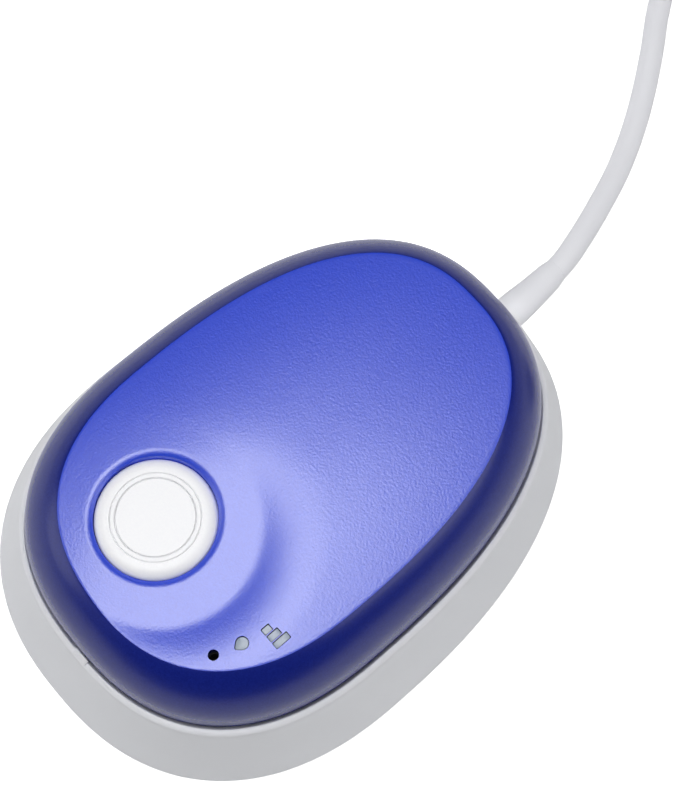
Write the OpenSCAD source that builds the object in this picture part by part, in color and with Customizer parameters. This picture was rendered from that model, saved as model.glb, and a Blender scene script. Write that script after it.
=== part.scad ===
// Mobile alert pendant lying in its charging cradle, with the cradle's lead wound up beside it.
// Sizes are in millimetres. +Z is up and +Y runs from the button end to the cord end.
// The origin is on the table, under the middle of the cradle.

/* [Pendant shell] */
// Length of the pendant
pendant_l = 61.3; // [57:0.1:68]
// Greatest width of the pendant
pendant_w = 44; // [41:0.5:50]
// Distance from the button end to the widest section
nose_l = 24.5; // [22:0.1:28]
// Squareness of the egg outline, where 2 is a plain ellipse
outline_power = 2.44; // [2.2:0.02:2.8]
// Height of the rear cover, from its underside to the parting line
rear_h = 5.8; // [5.2:0.1:7.5]
// How far the underside is drawn in from the outline
under_inset = 4.8; // [3.6:0.1:6]
// Height from the parting line to the edge of the top face
side_h = 7.8; // [7:0.1:10]
// How far the edge of the top face is drawn in from the outline
edge_inset = 4.2; // [3:0.1:5.2]
// Rise of the domed top face above its edge
crown_h = 1.4; // [1:0.1:2.2]
// Lean of the walls at the parting line, as run over rise
wall_lean = 0.02; // [0:0.01:0.12]
// Wall of both covers
cover_wall = 1.8; // [1.5:0.1:2.2]
// Floor of the rear cover
floor_t = 1.5; // [1.2:0.1:2]
// Thickness of the front cover at the edge of its top face
top_wall = 1.2; // [0.9:0.1:1.6]
// Height of the rear cover's tongue above the parting line
tongue_h = 1.2; // [0.8:0.1:1.6]
// Front cover's lip outside the tongue
lip_t = 1.0; // [0.8:0.05:1.1]
// Height of the seal on the tongue
gasket_h = 0.6; // [0.4:0.1:0.8]

/* [Call button] */
// Diameter of the button
button_d = 13.4; // [12:0.1:14]
// Distance of the button's axis from the centre line
button_side = 3.5; // [0:0.1:5]
// Distance of the button's axis from the button end
button_from_nose = 14.7; // [14:0.1:17]
// How far the button stands proud of its dish
button_proud = 0.3; // [0:0.1:0.6]
// Travel of the button when it is pressed
button_travel = 0.6; // [0.3:0.1:0.8]
// Rounding of the button's edge
button_round = 1.2; // [0.6:0.1:1.6]
// Diameter of the outer engraved ring
ring_outer_d = 9.6; // [9.2:0.1:10.4]
// Diameter of the inner engraved ring
ring_inner_d = 8.5; // [7:0.1:8.8]
// Width of an engraved ring
ring_w = 0.25; // [0.15:0.05:0.3]
// Depth of an engraved ring
ring_depth = 0.2; // [0.1:0.05:0.3]
// Width of the rounded lip round the button
lip_w = 0.85; // [0.8:0.05:1.5]
// Diameter of the flat dish round the button
dish_d = 24.6; // [22:0.1:28]
// Depth of the dish under the dome, on the button's axis
dish_drop = 0.25; // [0.2:0.05:0.6]
// Tilt of the dish, in degrees
dish_tilt = 5.4; // [3:0.1:6]
// Direction that the dish leans to, in degrees from +X
dish_lean = -35; // [-60:5:-20]
// Width of the dish's outer slope
dish_slope_w = 8; // [5:0.1:9]
// Rise of the dish's outer slope
dish_slope_h = 1.1; // [0.8:0.1:1.3]
// Wall of the well that guides the button
well_wall = 1.6; // [1.2:0.1:2]
// Drop of the well below the ceiling
well_drop = 2.2; // [1.8:0.1:2.6]
// Width of the flange that keeps the button in
flange_w = 0.9; // [0.6:0.1:1.2]
// Thickness of the flange that keeps the button in
flange_t = 0.8; // [0.6:0.1:1]
// Height of the seal round the button
seal_h = 0.9; // [0.6:0.1:1.1]
// Depth of the groove for the seal round the button
seal_w = 0.8; // [0.5:0.1:1]

/* [Sound and lights] */
// Diameter of the microphone hole
mic_hole_d = 1.3; // [1:0.1:1.6]
// Microphone's distance from the side
mic_from_side = 10.3; // [9.5:0.1:12]
// Microphone's distance from the button end
mic_from_nose = 10; // [9:0.1:11]
// Drop window's distance from the side
drop_from_side = 9.2; // [8.6:0.1:10]
// Drop window's distance from the button end
drop_from_nose = 13.2; // [12.8:0.1:14]
// Diameter of the drop window
drop_d = 1.5; // [1.2:0.1:1.7]
// First signal bar's distance from the side
bars_from_side = 8.6; // [8:0.1:9]
// Distance of the signal bars' foot from the button end
bars_from_nose = 15.6; // [15.2:0.1:16.4]
// Width of a signal bar
bar_w = 0.7; // [0.5:0.05:0.75]
// Spacing of the signal bars
bar_pitch = 0.93; // [0.9:0.01:1.05]
// Length of the first signal bar
bar_l = 0.95; // [0.8:0.05:1.2]
// How much longer each next bar is
bar_step = 0.45; // [0.3:0.05:0.6]
// Diameter of the speaker
speaker_d = 13; // [11:0.1:14]
// Height of the speaker
speaker_h = 3.5; // [2.5:0.1:4]
// Speaker's distance from the button end
speaker_from_nose = 12.5; // [12:0.1:13.5]
// Diameter of a sound hole
sound_hole_d = 1.2; // [0.8:0.1:1.4]

/* [Electronics] */
// Width of the battery
battery_w = 20; // [16:0.5:22]
// Length of the battery
battery_l = 28; // [22:0.5:29]
// Thickness of the battery
battery_t = 4.2; // [3.4:0.1:4.6]
// Battery's distance from the speaker
battery_gap = 2.5; // [1:0.1:3]
// Thickness of the battery's adhesive pad
tape_t = 0.2; // [0.1:0.05:0.4]
// Room between the battery and the board
battery_room = 0.6; // [0.3:0.1:1]
// Thickness of the main board
board_t = 1; // [0.8:0.1:1.2]
// Room between the board's edge and the covers
board_gap = 1.4; // [1:0.1:2]
// Diameter of a board screw's thread
screw_d = 1.5; // [1.2:0.1:1.8]
// Diameter of a board screw's head
screw_head_d = 2.8; // [2.4:0.1:3.2]
// Diameter of a board post
post_d = 3.4; // [3:0.1:3.8]
// Square size of the push switch
switch_w = 6; // [5:0.1:6.4]
// Height of the push switch
switch_h = 1.6; // [1.2:0.1:1.8]
// Diameter of the push switch's plunger
plunger_d = 3; // [2.4:0.1:3.4]
// Width of the radio shield
shield_w = 16; // [12:0.5:20]
// Length of the radio shield
shield_l = 13; // [10:0.5:14]
// Height of the radio shield
shield_h = 2; // [1.4:0.1:2.4]
// Square size of the satellite antenna
gps_w = 12; // [10:0.5:13]
// Height of the satellite antenna
gps_h = 3; // [2:0.1:3.2]
// Height of the cellular antenna strip
strip_h = 2.4; // [1.6:0.1:2.8]
// Thickness of the cellular antenna strip
strip_t = 0.4; // [0.3:0.05:0.6]
// Diameter of a charging contact
contact_d = 3; // [2.4:0.1:3.4]
// Spacing of the two charging contacts
contact_pitch = 8; // [7:0.1:10]
// Charging contacts' distance from the cord end of the pendant
contact_from_tail = 8.2; // [7.8:0.1:9]

/* [Cradle] */
// Height of the pendant's underside above the table
seat_z = 5.6; // [5.3:0.1:7.5]
// Shift of the pendant towards the cord, from the middle of the cradle
pendant_shift = 0.6; // [0:0.1:1.5]
// Gap between the pendant and the pocket
pocket_gap = 0.25; // [0.2:0.05:0.4]
// Depth of the rim below the parting line
rim_drop = 0.6; // [0.4:0.1:1]
// Reach of the rim outside the pendant's outline
rim_reach = 1; // [0.9:0.05:1.6]
// Rounding of the rim's outer edge
rim_round = 0.55; // [0.4:0.05:0.6]
// Reach of the skirt's foot outside the pendant's outline
foot_reach = 4.3; // [3.8:0.1:5.5]
// Squareness of the cradle's foot outline
foot_power = 2.34; // [2.2:0.02:2.6]
// Wall of the cradle
cradle_wall = 1.4; // [1.2:0.1:1.6]
// Floor of the pocket
pocket_floor_t = 1; // [0.8:0.1:1.2]
// Height of the rest pads in the pocket
rest_h = 0.4; // [0.2:0.1:0.6]
// Width of the locating tab on the rim
tab_w = 2; // [1.5:0.1:3]
// Thickness of the base plate
plate_t = 1.2; // [0.9:0.1:1.4]
// Diameter of a rubber foot
foot_d = 7; // [5:0.5:8]
// Thickness of a rubber foot
foot_t = 1; // [0.8:0.1:1.2]
// How far a rubber foot is let into the base plate
foot_let_in = 0.4; // [0.2:0.1:0.5]
// Diameter of a screw boss
boss_d = 4; // [3.6:0.1:4.6]
// Diameter of a cradle screw's thread
cradle_screw_d = 1.8; // [1.6:0.1:2]
// Diameter of a cradle screw's head
cradle_head_d = 3.2; // [2.8:0.1:3.4]
// Thickness of the contact board
contact_board_t = 0.8; // [0.6:0.1:1]
// Length of the contact board
contact_board_l = 10; // [8:0.5:11]
// Width of the contact board
contact_board_w = 16; // [14:0.5:20]
// Diameter of a spring pin
pin_d = 1; // [0.8:0.1:1.2]
// Diameter of a spring pin's barrel
barrel_d = 1.8; // [1.6:0.1:2.2]
// Travel of a spring pin
pin_travel = 0.5; // [0.3:0.05:0.6]

/* [Lead] */
// Diameter of the lead
cord_d = 3; // [2.6:0.1:3.2]
// Side offset of the lead's outlet
outlet_x = 0.8; // [0:0.1:1.5]
// Height of the lead's outlet
outlet_z = 5; // [4.6:0.1:5.6]
// Diameter of the strain relief at the cradle
relief_d = 4.2; // [4:0.1:4.6]
// Diameter of the strain relief at its tip
relief_tip_d = 3.4; // [3.3:0.05:3.8]
// Diameter of the collar that holds the strain relief inside the cradle
collar_d = 5.2; // [5:0.1:5.4]
// Thickness of the collar
collar_t = 0.8; // [0.6:0.1:0.9]
// Gap between neighbouring turns of the coil
turn_gap = 0.5; // [0.45:0.05:0.8]
// Turns in the coil's lower layer
lower_turns = 4; // [3:1:5]
// Mean diameter of the coil
coil_d = 34.8; // [34:0.2:40]
// Width of the tie
tie_w = 6; // [4:0.5:7]
// Thickness of the tie
tie_t = 0.5; // [0.4:0.1:0.8]
// Width of the plug's grip
grip_w = 14; // [13:0.5:17]
// Thickness of the plug's grip
grip_t = 8.4; // [7:0.1:9]
// Length of the plug's grip
grip_l = 20; // [16:1:24]
// Width of the plug's metal shell
shell_w = 12; // [11.8:0.1:12.2]
// Thickness of the plug's metal shell
shell_t = 4.5; // [4.3:0.1:4.7]
// Length of the plug's metal shell
shell_l = 14; // [12:0.5:16]
// Sheet thickness of the plug's metal shell
shell_sheet = 0.3; // [0.25:0.05:0.4]

/* [Hidden] */
$fn = 64;

// Steps round the egg outline
outline_steps = 64;
// Running clearance between fitted pieces, and a cutter's overrun
fit = 0.05;
over = 1;

// Pendant levels and places
part_z = seat_z + rear_h;
edge_z = part_z + side_h;
ceiling_z = edge_z - top_wall;
ceiling_crown = crown_h - dish_drop;
nose_y = pendant_shift - pendant_l / 2;
tail_y = nose_y + pendant_l;
wide_y = nose_y + nose_l;
tail_l = pendant_l - nose_l;
groove_h = tongue_h + gasket_h;
floor_z = seat_z + floor_t;
battery_z = floor_z + tape_t;
board_z = battery_z + battery_t + battery_room;
board_top = board_z + board_t;
board_inset = cover_wall + board_gap;

// Button places
button_x = -button_side;
button_y = nose_y + button_from_nose;
button_r = button_d / 2;
bore_r = button_r + fit;
lip_r = bore_r + lip_w;
well_z = ceiling_z - well_drop;
well_r = bore_r + well_wall;
flange_r = bore_r + flange_w;
switch_top = board_top + switch_h;
plunger_up = button_travel + 0.1;
stem_z = switch_top + plunger_up;
plunger_sunk = 0.3;

// Small features on the top face, and the inner pieces under them
side_x = pendant_w / 2;
mic_x = side_x - mic_from_side;
mic_y = nose_y + mic_from_nose;
mic_size = [3.5, 2.8, 1];
mic_boss_d = 3.6;
mic_boss_z = ceiling_z - 1.6;
drop_x = side_x - drop_from_side;
drop_y = nose_y + drop_from_nose;
bars_x = side_x - bars_from_side;
bars_y = nose_y + bars_from_nose;
bar_count = 3;
led_size = [0.6, 0.8, 0.6];
guide_t = 0.8;
guide_z = board_top + 1.8;
guide_margin = 0.5;
speaker_y = nose_y + speaker_from_nose;
mesh_t = 0.15;
battery_y = speaker_y + speaker_d / 2 + battery_gap + battery_l / 2;
shield_y = button_y + flange_r + 1.6 + shield_l / 2;
gps_y = shield_y + shield_l / 2 + 2 + gps_w / 2;
contact_y = tail_y - contact_from_tail;
contact_sides = [-1, 1];
contact_head_t = 0.8;
post_in = 7;
post_from_wide = 1.5;
tail_post_from_wide = 19.5;
head_t = 0.9;
screw_l = 3.5;

// Cradle levels and places
plate_z = foot_t - foot_let_in;
plate_top = plate_z + plate_t;
rim_z = part_z - rim_drop;
pocket_z = seat_z - rest_h;
under_z = pocket_z - pocket_floor_t;
cavity_z = rim_z - 3.1;
contact_board_z = plate_top + 0.3;
contact_board_top = contact_board_z + contact_board_t;
barrel_top = pocket_z - 0.2;
pin_sunk = 1.1;
boss_inset = 1;
boss_angles = [35, 145, 215, 325];
foot_inset = 4;
foot_angles = [60, 120, 240, 300];
rest_places = [[-8, -12], [8, -12], [-8, 14], [8, 14]];
rest_d = 3;
skirt_low_z = plate_z + 0.5;
rim_bevel = 0.1;
skirt_high_z = rim_z - rim_round;

// Lead: hand-chosen points from the strain relief to the coil, on the table after the first curve
relief_tip_y = 41.5;
coil_centre = [-5, 110];
coil_start = 198;
// Sense of the coil's turns seen from above: clockwise
coil_sense = -1;
layer_low = tie_t + 0.15 + cord_d / 2;
lead_points = [
    [outlet_x, relief_tip_y, outlet_z], [0.05, 44, 4.95], [-0.63, 46.4, 4.7], [-1.4, 48.9, 4.3],
    [-2.75, 52.7, 3.5], [-4.3, 56.6, 2.6], [-6, 60.2, 1.95], [-7.85, 63.6, 1.6], [-9.75, 66.7, 1.5],
    [-13.9, 72.6, 1.5], [-18, 77.9, 1.5], [-21.1, 82.9, 1.6], [-23.5, 88.3, 1.8], [-25.5, 93.9, 2]
];

// Signed power, used by the egg outline
function signed_power(v, p) = sign(v) * pow(abs(v), p);

// Point of the egg outline at angle a, grown outwards by grow
function egg_point(a, grow = 0, power = outline_power) = [
    (pendant_w / 2 + grow) * signed_power(cos(a), 2 / power),
    wide_y + ((sin(a) < 0 ? nose_l : tail_l) + grow) * signed_power(sin(a), 2 / power)
];

// The whole outline as a list of points
function egg(grow = 0, power = outline_power) =
    [for (i = [0 : outline_steps - 1]) egg_point(360 * i / outline_steps, grow, power)];

// Relative distance of a point from the widest section's middle: 1 on the edge of the top face
function egg_share(x, y, inset) =
    let (across = abs(x) / (pendant_w / 2 - inset))
        let (ahead = abs(y - wide_y) / ((y < wide_y ? nose_l : tail_l) - inset))
            pow(pow(across, outline_power) + pow(ahead, outline_power), 1 / outline_power);

// Height of the domed top face
function dome_z(x, y) = edge_z + crown_h * (1 - pow(egg_share(x, y, edge_inset), 2));

// How far a bowed wall is drawn in at rise h, when it reaches inset at full rise
function bow(h, full, inset) = wall_lean * h + (inset - wall_lean * full) * pow(h / full, 2);
function side_in(h) = bow(h, side_h, edge_inset);
function rear_in(d) = bow(d, rear_h, under_inset);

// A station of a loft: outline growth, height, scale about the widest section, squareness, shift along Y
function station(grow, z, share = 1, power = outline_power, slip = 0) = [grow, z, share, power, slip];
function station_ring(s) =
    [for (p = egg(s[0], s[3])) [p[0] * s[2], wide_y + (p[1] - wide_y) * s[2] + s[4], s[1]]];

// Closed skin through a list of stations, with flat ends
module loft(stations) {
    n = outline_steps;
    last = len(stations) - 1;
    points = [for (s = stations) each station_ring(s)];
    sides = [
        for (k = [0 : last - 1], i = [0 : n - 1])
            let (j = (i + 1) % n)
                each [[k * n + i, k * n + n + i, k * n + n + j], [k * n + i, k * n + n + j, k * n + j]]
    ];
    first_end = [for (i = [0 : n - 1]) i];
    last_end = [for (i = [n - 1 : -1 : 0]) last * n + i];
    polyhedron(points, concat([first_end], sides, [last_end]));
}

// Flat plate with the egg outline
module egg_plate(grow, z, t, power = outline_power, slip = 0) {
    translate([0, slip, z])
        linear_extrude(t)
            polygon(egg(grow, power));
}

// Rectangle with round corners
module round_rect(w, l, r) {
    square([w - 2 * r, l], center = true);
    square([w, l - 2 * r], center = true);
    for (x = [-1, 1], y = [-1, 1])
        translate([x * (w / 2 - r), y * (l / 2 - r)])
            circle(r);
}

// Block with round upright edges, standing on z = 0
module round_block(w, l, t, r) {
    linear_extrude(t)
        round_rect(w, l, r);
}

// Cylinder placed by its foot
module post(x, y, z, d, h) {
    translate([x, y, z])
        cylinder(d = d, h = h);
}

// Places of the four board screws
module at_board_posts() {
    for (side = [-1, 1]) {
        translate([side * (side_x - post_in), wide_y + post_from_wide, 0])
            children();
        translate([side * (side_x - post_in - 1), wide_y + tail_post_from_wide, 0])
            children();
    }
}

// Places of the four cradle screws
module at_bosses() {
    for (a = boss_angles)
        translate(egg_point(a, -boss_inset))
            children();
}

// Places of the two charging contacts
module at_contacts() {
    for (side = contact_sides)
        translate([side * contact_pitch / 2, contact_y, 0])
            children();
}

// Frame of the tilted dish: its floor is z = 0, with the button's axis through the origin
dish_z = dome_z(button_x, button_y) - dish_drop;
button_top = dish_z + button_proud;
module at_dish() {
    translate([button_x, button_y, dish_z])
        rotate([0, 0, dish_lean])
            rotate([0, dish_tilt, 0])
                children();
}

// Cutter of the dish: a flat floor whose outer slope eases out into the dome
dish_steps = 6;
function dish_slope(s) = [dish_d / 2 + dish_slope_w * s, dish_slope_h * (1 - pow(1 - s, 2))];
module dish_cutter() {
    dish_top = crown_h + dish_slope_h + over;
    slope = [for (i = [0 : dish_steps]) dish_slope(i / dish_steps)];
    outer = dish_d / 2 + dish_slope_w;
    at_dish()
        rotate_extrude()
            polygon(concat([[0, 0]], slope, [[outer, dish_top], [0, dish_top]]));
}

// Cutter of the rounded lip that leads down to the button and ends in a crisp edge at the bore
lip_round = lip_w + 0.2;
module lip_cutter() {
    at_dish()
        rotate_extrude()
            difference() {
                translate([0, -lip_round])
                    square([lip_r, lip_round + over]);
                translate([lip_r, -lip_round])
                    circle(lip_round);
            }
}

// Outline of the drop window: a disc with one square corner towards the button end
module drop_shape(grow) {
    circle(drop_d / 2 + grow);
    rotate(45 + 180)
        square(drop_d / 2 + grow);
}

// The four light windows as upright bars, from z up by h
module windows(grow, z, h) {
    translate([drop_x, drop_y, z])
        linear_extrude(h)
            drop_shape(grow);
    for (i = [0 : bar_count - 1])
        translate([bars_x + i * bar_pitch - bar_w / 2 - grow, bars_y - grow, z])
            cube([bar_w + 2 * grow, bar_l + i * bar_step + 2 * grow, h]);
}

// Front cover: domed shell with the dish, the button's well, the microphone hole and the light windows
front_inner = concat(
    [for (share = [0.35, 0.7, 1])
        station(-edge_inset - 1, ceiling_z + ceiling_crown * (1 - share * share), share)],
    [for (h = [0.75, 0.5, 0.3])
        let (rise = groove_h + h * (side_h - top_wall - groove_h))
            station(-side_in(rise) - cover_wall, part_z + rise)],
    [station(-side_in(groove_h) - cover_wall, part_z + groove_h),
     station(-lip_t, part_z + groove_h),
     station(-lip_t, part_z)]
);
front_outer = concat(
    [for (h = [0, 0.2, 0.4, 0.6, 0.8, 0.94]) station(-side_in(h * side_h), part_z + h * side_h)],
    [station(-edge_inset - 0.1, edge_z - 0.05)],
    [for (share = [0.96, 0.8, 0.6, 0.35, 0.12])
        station(-edge_inset, edge_z + crown_h * (1 - share * share), share)]
);
module front_cover() {
    color("royalblue")
        difference() {
            union() {
                loft(concat(front_inner, front_outer));
                post(button_x, button_y, well_z, 2 * well_r, ceiling_z + ceiling_crown - well_z);
                post(mic_x, mic_y, mic_boss_z, mic_boss_d, ceiling_z + top_wall / 2 - mic_boss_z);
            }
            dish_cutter();
            lip_cutter();
            post(button_x, button_y, well_z - over, 2 * bore_r, dish_z - well_z + 3 * over);
            seal_groove();
            post(mic_x, mic_y, mic_boss_z - over, mic_hole_d, edge_z + crown_h - mic_boss_z + 2 * over);
            windows(fit, ceiling_z - over, edge_z + crown_h - ceiling_z + 2 * over);
        }
}

// Rear cover: shallow bowl with the tongue, the board posts, the sound holes and the contact holes
rear_stations = concat(
    [for (d = [1, 0.8, 0.6, 0.4, 0.2, 0]) station(-rear_in(d * rear_h), part_z - d * rear_h)],
    [station(-lip_t - fit, part_z),
     station(-lip_t - fit, part_z + tongue_h),
     station(-cover_wall, part_z + tongue_h)],
    [for (d = [0, 0.35, 0.7, 1])
        let (depth = d * (rear_h - floor_t))
            station(-rear_in(depth) - cover_wall, part_z - depth)]
);
sound_ring_r = [2, 4];
sound_ring_count = [6, 12];
module sound_holes() {
    translate([0, speaker_y, seat_z - over]) {
        cylinder(d = sound_hole_d, h = floor_t + 2 * over);
        for (k = [0, 1], i = [0 : sound_ring_count[k] - 1])
            rotate(360 * i / sound_ring_count[k])
                translate([sound_ring_r[k], 0, 0])
                    cylinder(d = sound_hole_d, h = floor_t + 2 * over);
    }
}
module rear_cover() {
    color("mediumblue")
        difference() {
            union() {
                loft(rear_stations);
                at_board_posts()
                    post(0, 0, floor_z - floor_t / 2, post_d, board_z - floor_z + floor_t / 2);
            }
            at_board_posts()
                post(0, 0, board_z - screw_l, screw_d, screw_l + over);
            sound_holes();
            at_contacts()
                post(0, 0, seat_z - over, contact_d, floor_t + 2 * over);
        }
}

// Silicone seal squeezed between the rear cover's tongue and the front cover
module cover_gasket() {
    color("dimgray")
        difference() {
            egg_plate(-lip_t - fit, part_z + tongue_h, gasket_h);
            egg_plate(-cover_wall, part_z + tongue_h - over, gasket_h + 2 * over);
        }
}

// Rubber ring in a groove of the well, which wipes the button's skirt
seal_z = well_z + 0.5;
module seal_groove() {
    post(button_x, button_y, seal_z, 2 * (bore_r + seal_w), seal_h);
}
module button_seal() {
    color("black")
        difference() {
            seal_groove();
            post(button_x, button_y, seal_z - over, button_d + fit, seal_h + 2 * over);
        }
}

// Call button: a hollow cap with a rounded edge, two engraved rings, a flange and a middle stem
cap_wall = 1.1;
cap_top_t = 1.4;
stem_d = 3.2;
module cap_profile() {
    union() {
        translate([0, well_z])
            square([button_r, button_top - button_round - well_z]);
        translate([0, well_z])
            square([button_r - button_round, button_top - well_z]);
        translate([button_r - button_round, button_top - button_round])
            circle(button_round);
        translate([0, well_z - flange_t])
            square([flange_r, flange_t]);
    }
}
module call_button() {
    color("whitesmoke")
        translate([button_x, button_y, 0])
            rotate_extrude()
                difference() {
                    cap_profile();
                    translate([stem_d / 2, well_z - flange_t - over])
                        square([button_r - cap_wall - stem_d / 2,
                                button_top - cap_top_t - well_z + flange_t + over]);
                    translate([0, well_z - flange_t - over])
                        square([stem_d / 2, stem_z - well_z + flange_t + over]);
                    for (d = [ring_outer_d, ring_inner_d])
                        translate([d / 2 - ring_w / 2, button_top - ring_depth])
                            square([ring_w, ring_depth + over]);
                }
}

// Plunger of the push switch, under the button's stem
module switch_plunger() {
    color("dimgray")
        post(button_x, button_y, switch_top - plunger_sunk, plunger_d, plunger_up + plunger_sunk);
}

// Body of the push switch, soldered to the main board
module switch_body() {
    color("gray")
        difference() {
            translate([button_x, button_y, board_top])
                round_block(switch_w, switch_w, switch_h, 0.6);
            post(button_x, button_y, switch_top - plunger_sunk - button_travel - 0.1,
                 plunger_d + 2 * fit, switch_h + over);
        }
}

// Light guide: clear posts from the lamps up through the windows, joined by one carrier plate
module light_guide() {
    guide_x = drop_x - drop_d / 2 - guide_margin;
    guide_y = drop_y - drop_d / 2 - guide_margin;
    guide_w = bars_x + bar_count * bar_pitch + guide_margin - guide_x;
    guide_l = bars_y + bar_l + (bar_count - 1) * bar_step + guide_margin - guide_y;
    wall_in = side_in(guide_z + guide_t - part_z) + cover_wall + 0.3;
    color("lightcyan") {
        intersection() {
            windows(0, board_top + led_size[2] + 0.2, edge_z + crown_h - board_top);
            under_top_face();
        }
        intersection() {
            translate([guide_x, guide_y, guide_z])
                cube([guide_w, guide_l, guide_t]);
            egg_plate(-wall_in, guide_z - over, guide_t + 2 * over);
        }
    }
}

// Everything below a plane that follows the dome at the windows
module under_top_face() {
    window_y = (drop_y + bars_y) / 2;
    flat_z = dome_z(bars_x + bar_pitch, window_y) - 0.15;
    translate([drop_x - pendant_w, drop_y - pendant_w, 0])
        cube([2 * pendant_w, 2 * pendant_w, flat_z]);
}

// Four status lamps on the main board, one under each window
module led(x, y) {
    translate([x - led_size[0] / 2, y - led_size[1] / 2, board_top])
        cube(led_size);
}
module status_leds() {
    color("lightyellow") {
        led(drop_x, drop_y);
        for (i = [0 : bar_count - 1])
            led(bars_x + i * bar_pitch, bars_y + (bar_l + i * bar_step) / 2);
    }
}

// Main circuit board, screwed to the rear cover's posts
module main_board() {
    color("darkgreen")
        difference() {
            egg_plate(-board_inset, board_z, board_t);
            at_board_posts()
                post(0, 0, board_z - over, screw_d, board_t + 2 * over);
        }
}

// Four pan-head screws that hold the main board
module board_screws() {
    color("silver")
        at_board_posts() {
            post(0, 0, board_top, screw_head_d, head_t);
            post(0, 0, board_z - screw_l + 0.3, screw_d, screw_l + board_t - 0.3 + head_t / 2);
        }
}

// Microphone can on the main board, with its sound port facing up
module microphone() {
    color("gold")
        difference() {
            translate([mic_x, mic_y, board_top])
                round_block(mic_size[0], mic_size[1], mic_size[2], 0.3);
            post(mic_x, mic_y, board_top + 0.4, mic_hole_d, mic_size[2]);
        }
}

// Rubber boot that leads the sound from the front cover's boss to the microphone
module mic_boot() {
    boot_z = board_top + mic_size[2];
    color("dimgray")
        difference() {
            post(mic_x, mic_y, boot_z, mic_size[1] - 0.2, mic_boss_z - boot_z);
            post(mic_x, mic_y, boot_z - over, mic_hole_d, mic_boss_z - boot_z + 2 * over);
        }
}

// Tinned steel can over the radio parts of the main board
module radio_shield() {
    color("silver")
        translate([0, shield_y, board_top])
            round_block(shield_w, shield_l, shield_h, 0.6);
}

// Ceramic patch antenna for the satellite receiver
module gps_antenna() {
    color("tan") {
        translate([0, gps_y, board_top])
            round_block(gps_w, gps_w, gps_h - 0.1, 0.8);
        translate([0, gps_y, board_top + gps_h - 0.1])
            round_block(gps_w - 2, gps_w - 2, 0.1, 0.6);
    }
}

// Bent metal strip that stands on the board round the cord end, the cellular antenna
module cell_antenna() {
    strip_inset = board_inset + 1.5;
    strip_y = wide_y + tail_post_from_wide + screw_head_d / 2 + 2;
    color("goldenrod")
        intersection() {
            difference() {
                egg_plate(-strip_inset, board_top, strip_h);
                egg_plate(-strip_inset - strip_t, board_top - over, strip_h + 2 * over);
            }
            translate([-pendant_w / 2, strip_y, board_top - over])
                cube([pendant_w, tail_l, strip_h + 2 * over]);
        }
}

// Lithium pouch cell with folded edges
module battery() {
    color("lightgray")
        translate([0, battery_y, battery_z])
            round_block(battery_w, battery_l, battery_t, 1.5);
}

// Adhesive pad that holds the cell to the rear cover
module battery_pad() {
    color("khaki")
        translate([0, battery_y, floor_z])
            round_block(battery_w - 4, battery_l - 4, tape_t, 1);
}

// Round loudspeaker over the sound holes
module speaker() {
    frame_t = 1.2;
    color("darkslategray")
        translate([0, speaker_y, floor_z + mesh_t]) {
            cylinder(d = speaker_d, h = speaker_h - frame_t);
            cylinder(d = speaker_d - 3, h = speaker_h);
        }
}

// Water-resistant mesh disc between the sound holes and the loudspeaker
module speaker_mesh() {
    color("black")
        post(0, speaker_y, floor_z, speaker_d - 1, mesh_t);
}

// Two gilt charging contacts in the underside, each with a post up to the board
module charge_contacts() {
    color("gold")
        at_contacts() {
            post(0, 0, seat_z, contact_d, floor_t);
            post(0, 0, floor_z, contact_d + 1, contact_head_t);
            post(0, 0, floor_z, contact_d / 2, board_z - floor_z);
        }
}

// Cradle shell: pocket that follows the rear cover, rounded rim and flared skirt, in one wall
function pocket_grow(z) = pocket_gap - rear_in(part_z - z);
function skirt_share(z) = (z - skirt_low_z) / (skirt_high_z - skirt_low_z);
function skirt_grow(z) = foot_reach + (rim_reach - foot_reach) * skirt_share(z);
function skirt_slip(z) = -pendant_shift * (1 - skirt_share(z));
function skirt_tail_y(z) = tail_y + skirt_grow(z) + skirt_slip(z);
function skirt_station(z, inwards = 0) =
    let (share = max(0, skirt_share(z)))
        let (power = foot_power + share * (outline_power - foot_power))
            station(skirt_grow(z) - inwards, z, 1, power, skirt_slip(z));
function foot_station(inwards, z) =
    station(foot_reach - inwards, z, 1, foot_power, -pendant_shift);
pocket_levels = [0.78, 0.52, 0.28, 0];
cradle_stations = concat(
    [station(pocket_grow(seat_z), under_z),
     station(pocket_grow(seat_z) + cradle_wall, under_z + 0.4),
     station(pocket_grow((seat_z + cavity_z) / 2) + cradle_wall, (seat_z + cavity_z) / 2 - 0.4),
     station(pocket_grow(cavity_z) + cradle_wall - 0.6, cavity_z),
     skirt_station(cavity_z, cradle_wall),
     foot_station(cradle_wall, plate_z),
     foot_station(0.4, plate_z),
     foot_station(0.1, plate_z + 0.15)],
    [for (s = [0, 0.35, 0.7, 1]) skirt_station(skirt_low_z + s * (skirt_high_z - skirt_low_z))],
    [station(rim_reach - 0.3 * rim_round, rim_z - 0.3 * rim_round),
     station(rim_reach - rim_round, rim_z),
     station(pocket_gap + rim_bevel, rim_z),
     station(pocket_gap, rim_z - rim_bevel)],
    [for (s = pocket_levels)
        let (z = seat_z + s * (rim_z - 0.5 - seat_z))
            station(pocket_grow(z), z)],
    [station(pocket_grow(seat_z), pocket_z)]
);
relief_out_y = skirt_tail_y(outlet_z);
collar_y = skirt_tail_y(outlet_z + collar_d / 2) - cradle_wall - collar_t - 0.1;
module outlet_bore(d, y0, y1) {
    translate([outlet_x, y0, outlet_z])
        rotate([-90, 0, 0])
            cylinder(d = d, h = y1 - y0);
}
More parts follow.
